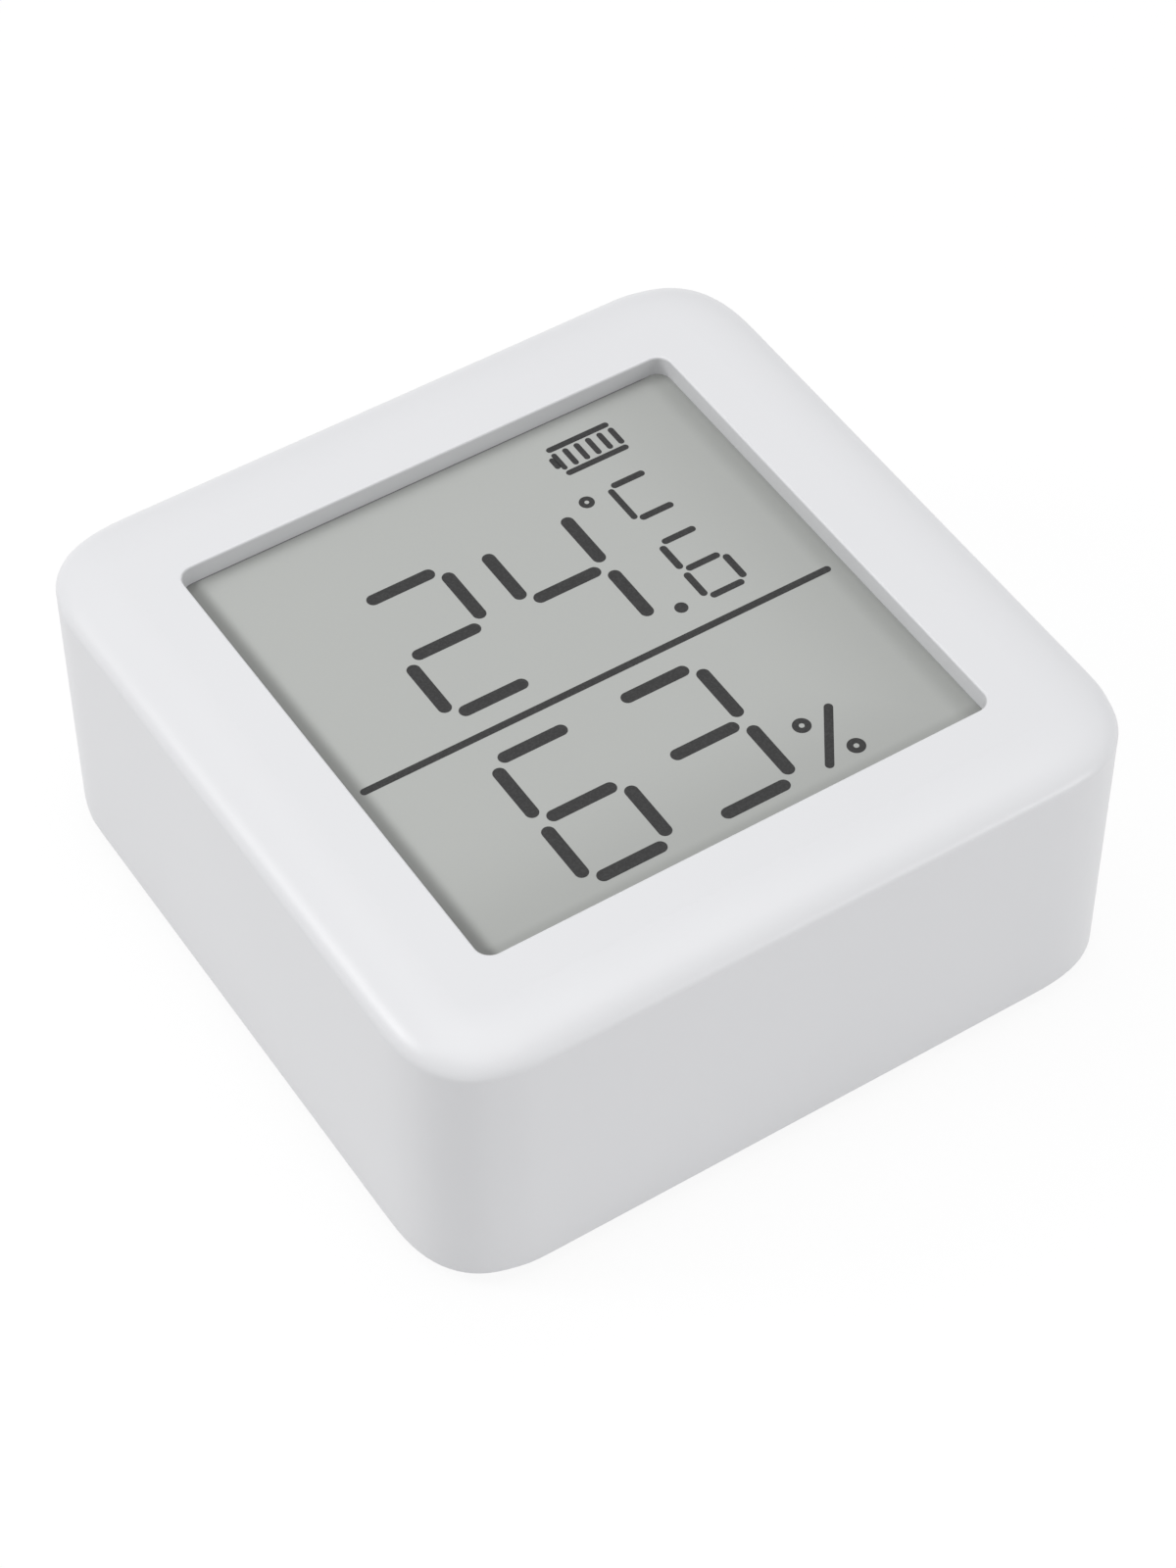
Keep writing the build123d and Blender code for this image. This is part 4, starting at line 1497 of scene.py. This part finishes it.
@dataclass
class CarriedNodes:
    """The CAD nodes that keep their shape, by finish."""

    groups: dict[Finish, Sequence[str]] = field(default_factory=lambda: {
        Finish.CASE: ("front_housing",),
        Finish.COVER: ("back_cover", "folding_stand"),
        Finish.INNER: ("display_carrier", "battery_tray"),
        Finish.CAP: ("button_cap",),
        Finish.NYLON: ("switch_stem", "push_switch"),
        Finish.FILM: ("front_polarizer",),
        Finish.REFLECTOR: ("rear_polarizer",),
        Finish.GLASS: ("front_glass", "rear_glass"),
        Finish.FOAM: ("display_gasket", "sensor_seal"),
        Finish.STRIP: ("contact_strip",),
        Finish.BOARD: ("main_board",),
        Finish.CHIP: ("wireless_chip", "display_driver", "humidity_sensor", "chip_resistors"),
        Finish.CERAMIC: ("chip_antenna",),
        Finish.CAPACITOR: ("chip_capacitors",),
        Finish.CAN: ("main_crystal", "clock_crystal"),
        Finish.FERRITE: ("power_coil",),
        Finish.NICKEL: ("positive_contact", "negative_contact", "bridge_contact"),
        Finish.MESH: ("vent_mesh",),
        Finish.MAGNET: ("cover_magnets",),
    })

    def dress(self, nodes: dict[str, bpy.types.Object], palette: Palette) -> None:
        """Assign every carried node its material.

        Args:
            nodes: the frame's objects by node.
            palette: the finishes' materials.
        """
        for finish, names in self.groups.items():
            for name in names:
                slots = nodes[name].material_slots
                if not slots:
                    nodes[name].data.materials.append(palette.of(finish))
                for slot in slots:
                    slot.material = palette.of(finish)
                LOG.info("%s dressed as %s", name, finish.name)


@dataclass(frozen=True)
class Lamp:
    """Square lamp that faces the sensor: its place, its side and its power in watts."""

    name: str
    place: Triple
    size: float
    power: float


@dataclass
class Studio:
    """White floor, soft even sky, three lamps and the camera of the photograph."""

    floor_half: float = 3.0
    floor_colours: tuple[Colour, Colour] = ((0.74, 0.74, 0.74), (0.72, 0.72, 0.72))
    floor_grain: float = 0.02
    floor_octaves: float = 3.0
    floor_rough: float = 0.9
    floor_glow: float = 1.05
    floor_share: float = 0.86
    sky: Colour = (0.510, 0.510, 0.516)
    white: Colour = (1.0, 1.0, 1.0)
    lamps: Sequence[Lamp] = (
        Lamp("key_lamp", (-0.030, 0.045, 0.900), 0.80, 3.45),
        Lamp("rim_lamp", (-0.330, 0.195, 0.320), 0.12, 0.50),
        Lamp("right_lamp", (0.460, -0.755, 0.150), 0.28, 1.33),
    )
    lamp_aim: Triple = (0.0, 0.0, 0.015)
    camera_place: Triple = (-0.101614, -0.159298, 0.230275)
    camera_across: Triple = (0.840369, -0.542012, -0.001658)
    camera_up: Triple = (0.413135, 0.638564, 0.649273)
    camera_near: float = 0.01
    lens: float = 96.342
    sensor: float = 36.0

    def build(self) -> None:
        """Build the stage."""
        self.build_floor()
        self.build_sky()
        for lamp in self.lamps:
            self.add_lamp(lamp)
        self.add_camera()

    def build_floor(self) -> None:
        """Large flat floor: white to the camera and to reflections, pale with a soft shadow."""
        corners = np.array([(-1, -1, 0), (1, -1, 0), (1, 1, 0), (-1, 1, 0)]) * self.floor_half
        floor = make_piece("floor", corners, [(0, 1, 2, 3)], False)
        shader = Shader("floor_white")
        paths = shader.node("ShaderNodeLightPath", {}, {}).outputs
        seen = Value(shader, paths["Is Camera Ray"])
        for path in ("Is Glossy Ray", "Is Transmission Ray"):
            seen = seen.larger(Value(shader, paths[path]))
        grain = shader.noise(self.floor_grain, self.floor_octaves)
        shader.dress(base_color=shader.mix(grain, *self.floor_colours), roughness=self.floor_rough)
        glow_inputs = {"Color": (*self.white, 1.0), "Strength": self.floor_glow}
        glow = shader.node("ShaderNodeEmission", {}, glow_inputs)
        both = shader.node("ShaderNodeMixShader", {}, {0: seen * self.floor_share})
        shader.feed(both.inputs[1], shader.surface.outputs[0])
        shader.feed(both.inputs[2], glow.outputs[0])
        shader.feed(shader.tree.nodes["Material Output"].inputs["Surface"], both.outputs[0])
        floor.data.materials.append(shader.material)

    def build_sky(self) -> None:
        """Even soft light from all round, seen as plain white."""
        world = bpy.data.worlds.new("studio")
        world.use_nodes = True
        bpy.context.scene.world = world
        sky = Nodes(world.node_tree)
        seen = sky.node("ShaderNodeLightPath", {}, {}).outputs["Is Camera Ray"]
        sky.feed(sky.tree.nodes["Background"].inputs["Color"], sky.mix(seen, self.sky, self.white))

    def add_lamp(self, lamp: Lamp) -> None:
        """Add a lamp.

        Args:
            lamp: its name, place, size and power.
        """
        data = bpy.data.lights.new(lamp.name, "AREA")
        data.size = lamp.size
        data.energy = lamp.power
        light = bpy.data.objects.new(lamp.name, data)
        turn = (Vector(self.lamp_aim) - Vector(lamp.place)).to_track_quat("-Z", "Y")
        light.matrix_world = Matrix.Translation(lamp.place) @ turn.to_matrix().to_4x4()
        bpy.context.scene.collection.objects.link(light)

    def add_camera(self) -> None:
        """Add the camera at the photograph's place and angle."""
        data = bpy.data.cameras.new("camera")
        data.sensor_fit = "AUTO"
        data.sensor_width = self.sensor
        data.lens = self.lens
        data.clip_start = self.camera_near
        camera = bpy.data.objects.new("camera", data)
        across, up = Vector(self.camera_across).normalized(), Vector(self.camera_up).normalized()
        turn = Matrix((across, up, across.cross(up))).transposed()
        camera.matrix_world = Matrix.Translation(self.camera_place) @ turn.to_4x4()
        bpy.context.scene.collection.objects.link(camera)
        bpy.context.scene.camera = camera


def main() -> None:
    """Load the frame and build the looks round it."""
    logging.basicConfig(level=logging.INFO, format="%(name)s %(message)s")
    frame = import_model()
    palette = Palette()
    CarriedNodes().dress(frame["nodes"], palette)
    DisplayMarks(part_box("front_polarizer")[1].z).build(palette.of(Finish.INK))
    Cell("upper_cell", end=1.0).build()
    Cell("lower_cell", end=-1.0).build()
    ContactSprings().build(palette.of(Finish.NICKEL))
    for screws in (
        CrossScrews("tray_screws", head_radius=1.5, head=1.0, shank_radius=0.8, length=5.2),
        CrossScrews("board_screws", head_radius=1.3, head=0.7, shank_radius=0.6, length=2.5),
    ):
        screws.build(palette.of(Finish.SCREW))
    BoardMetal().build(frame["nodes"], palette)
    Studio().build()
    bpy.context.scene.view_settings.view_transform = "Standard"


if __name__ == "__main__":
    main()
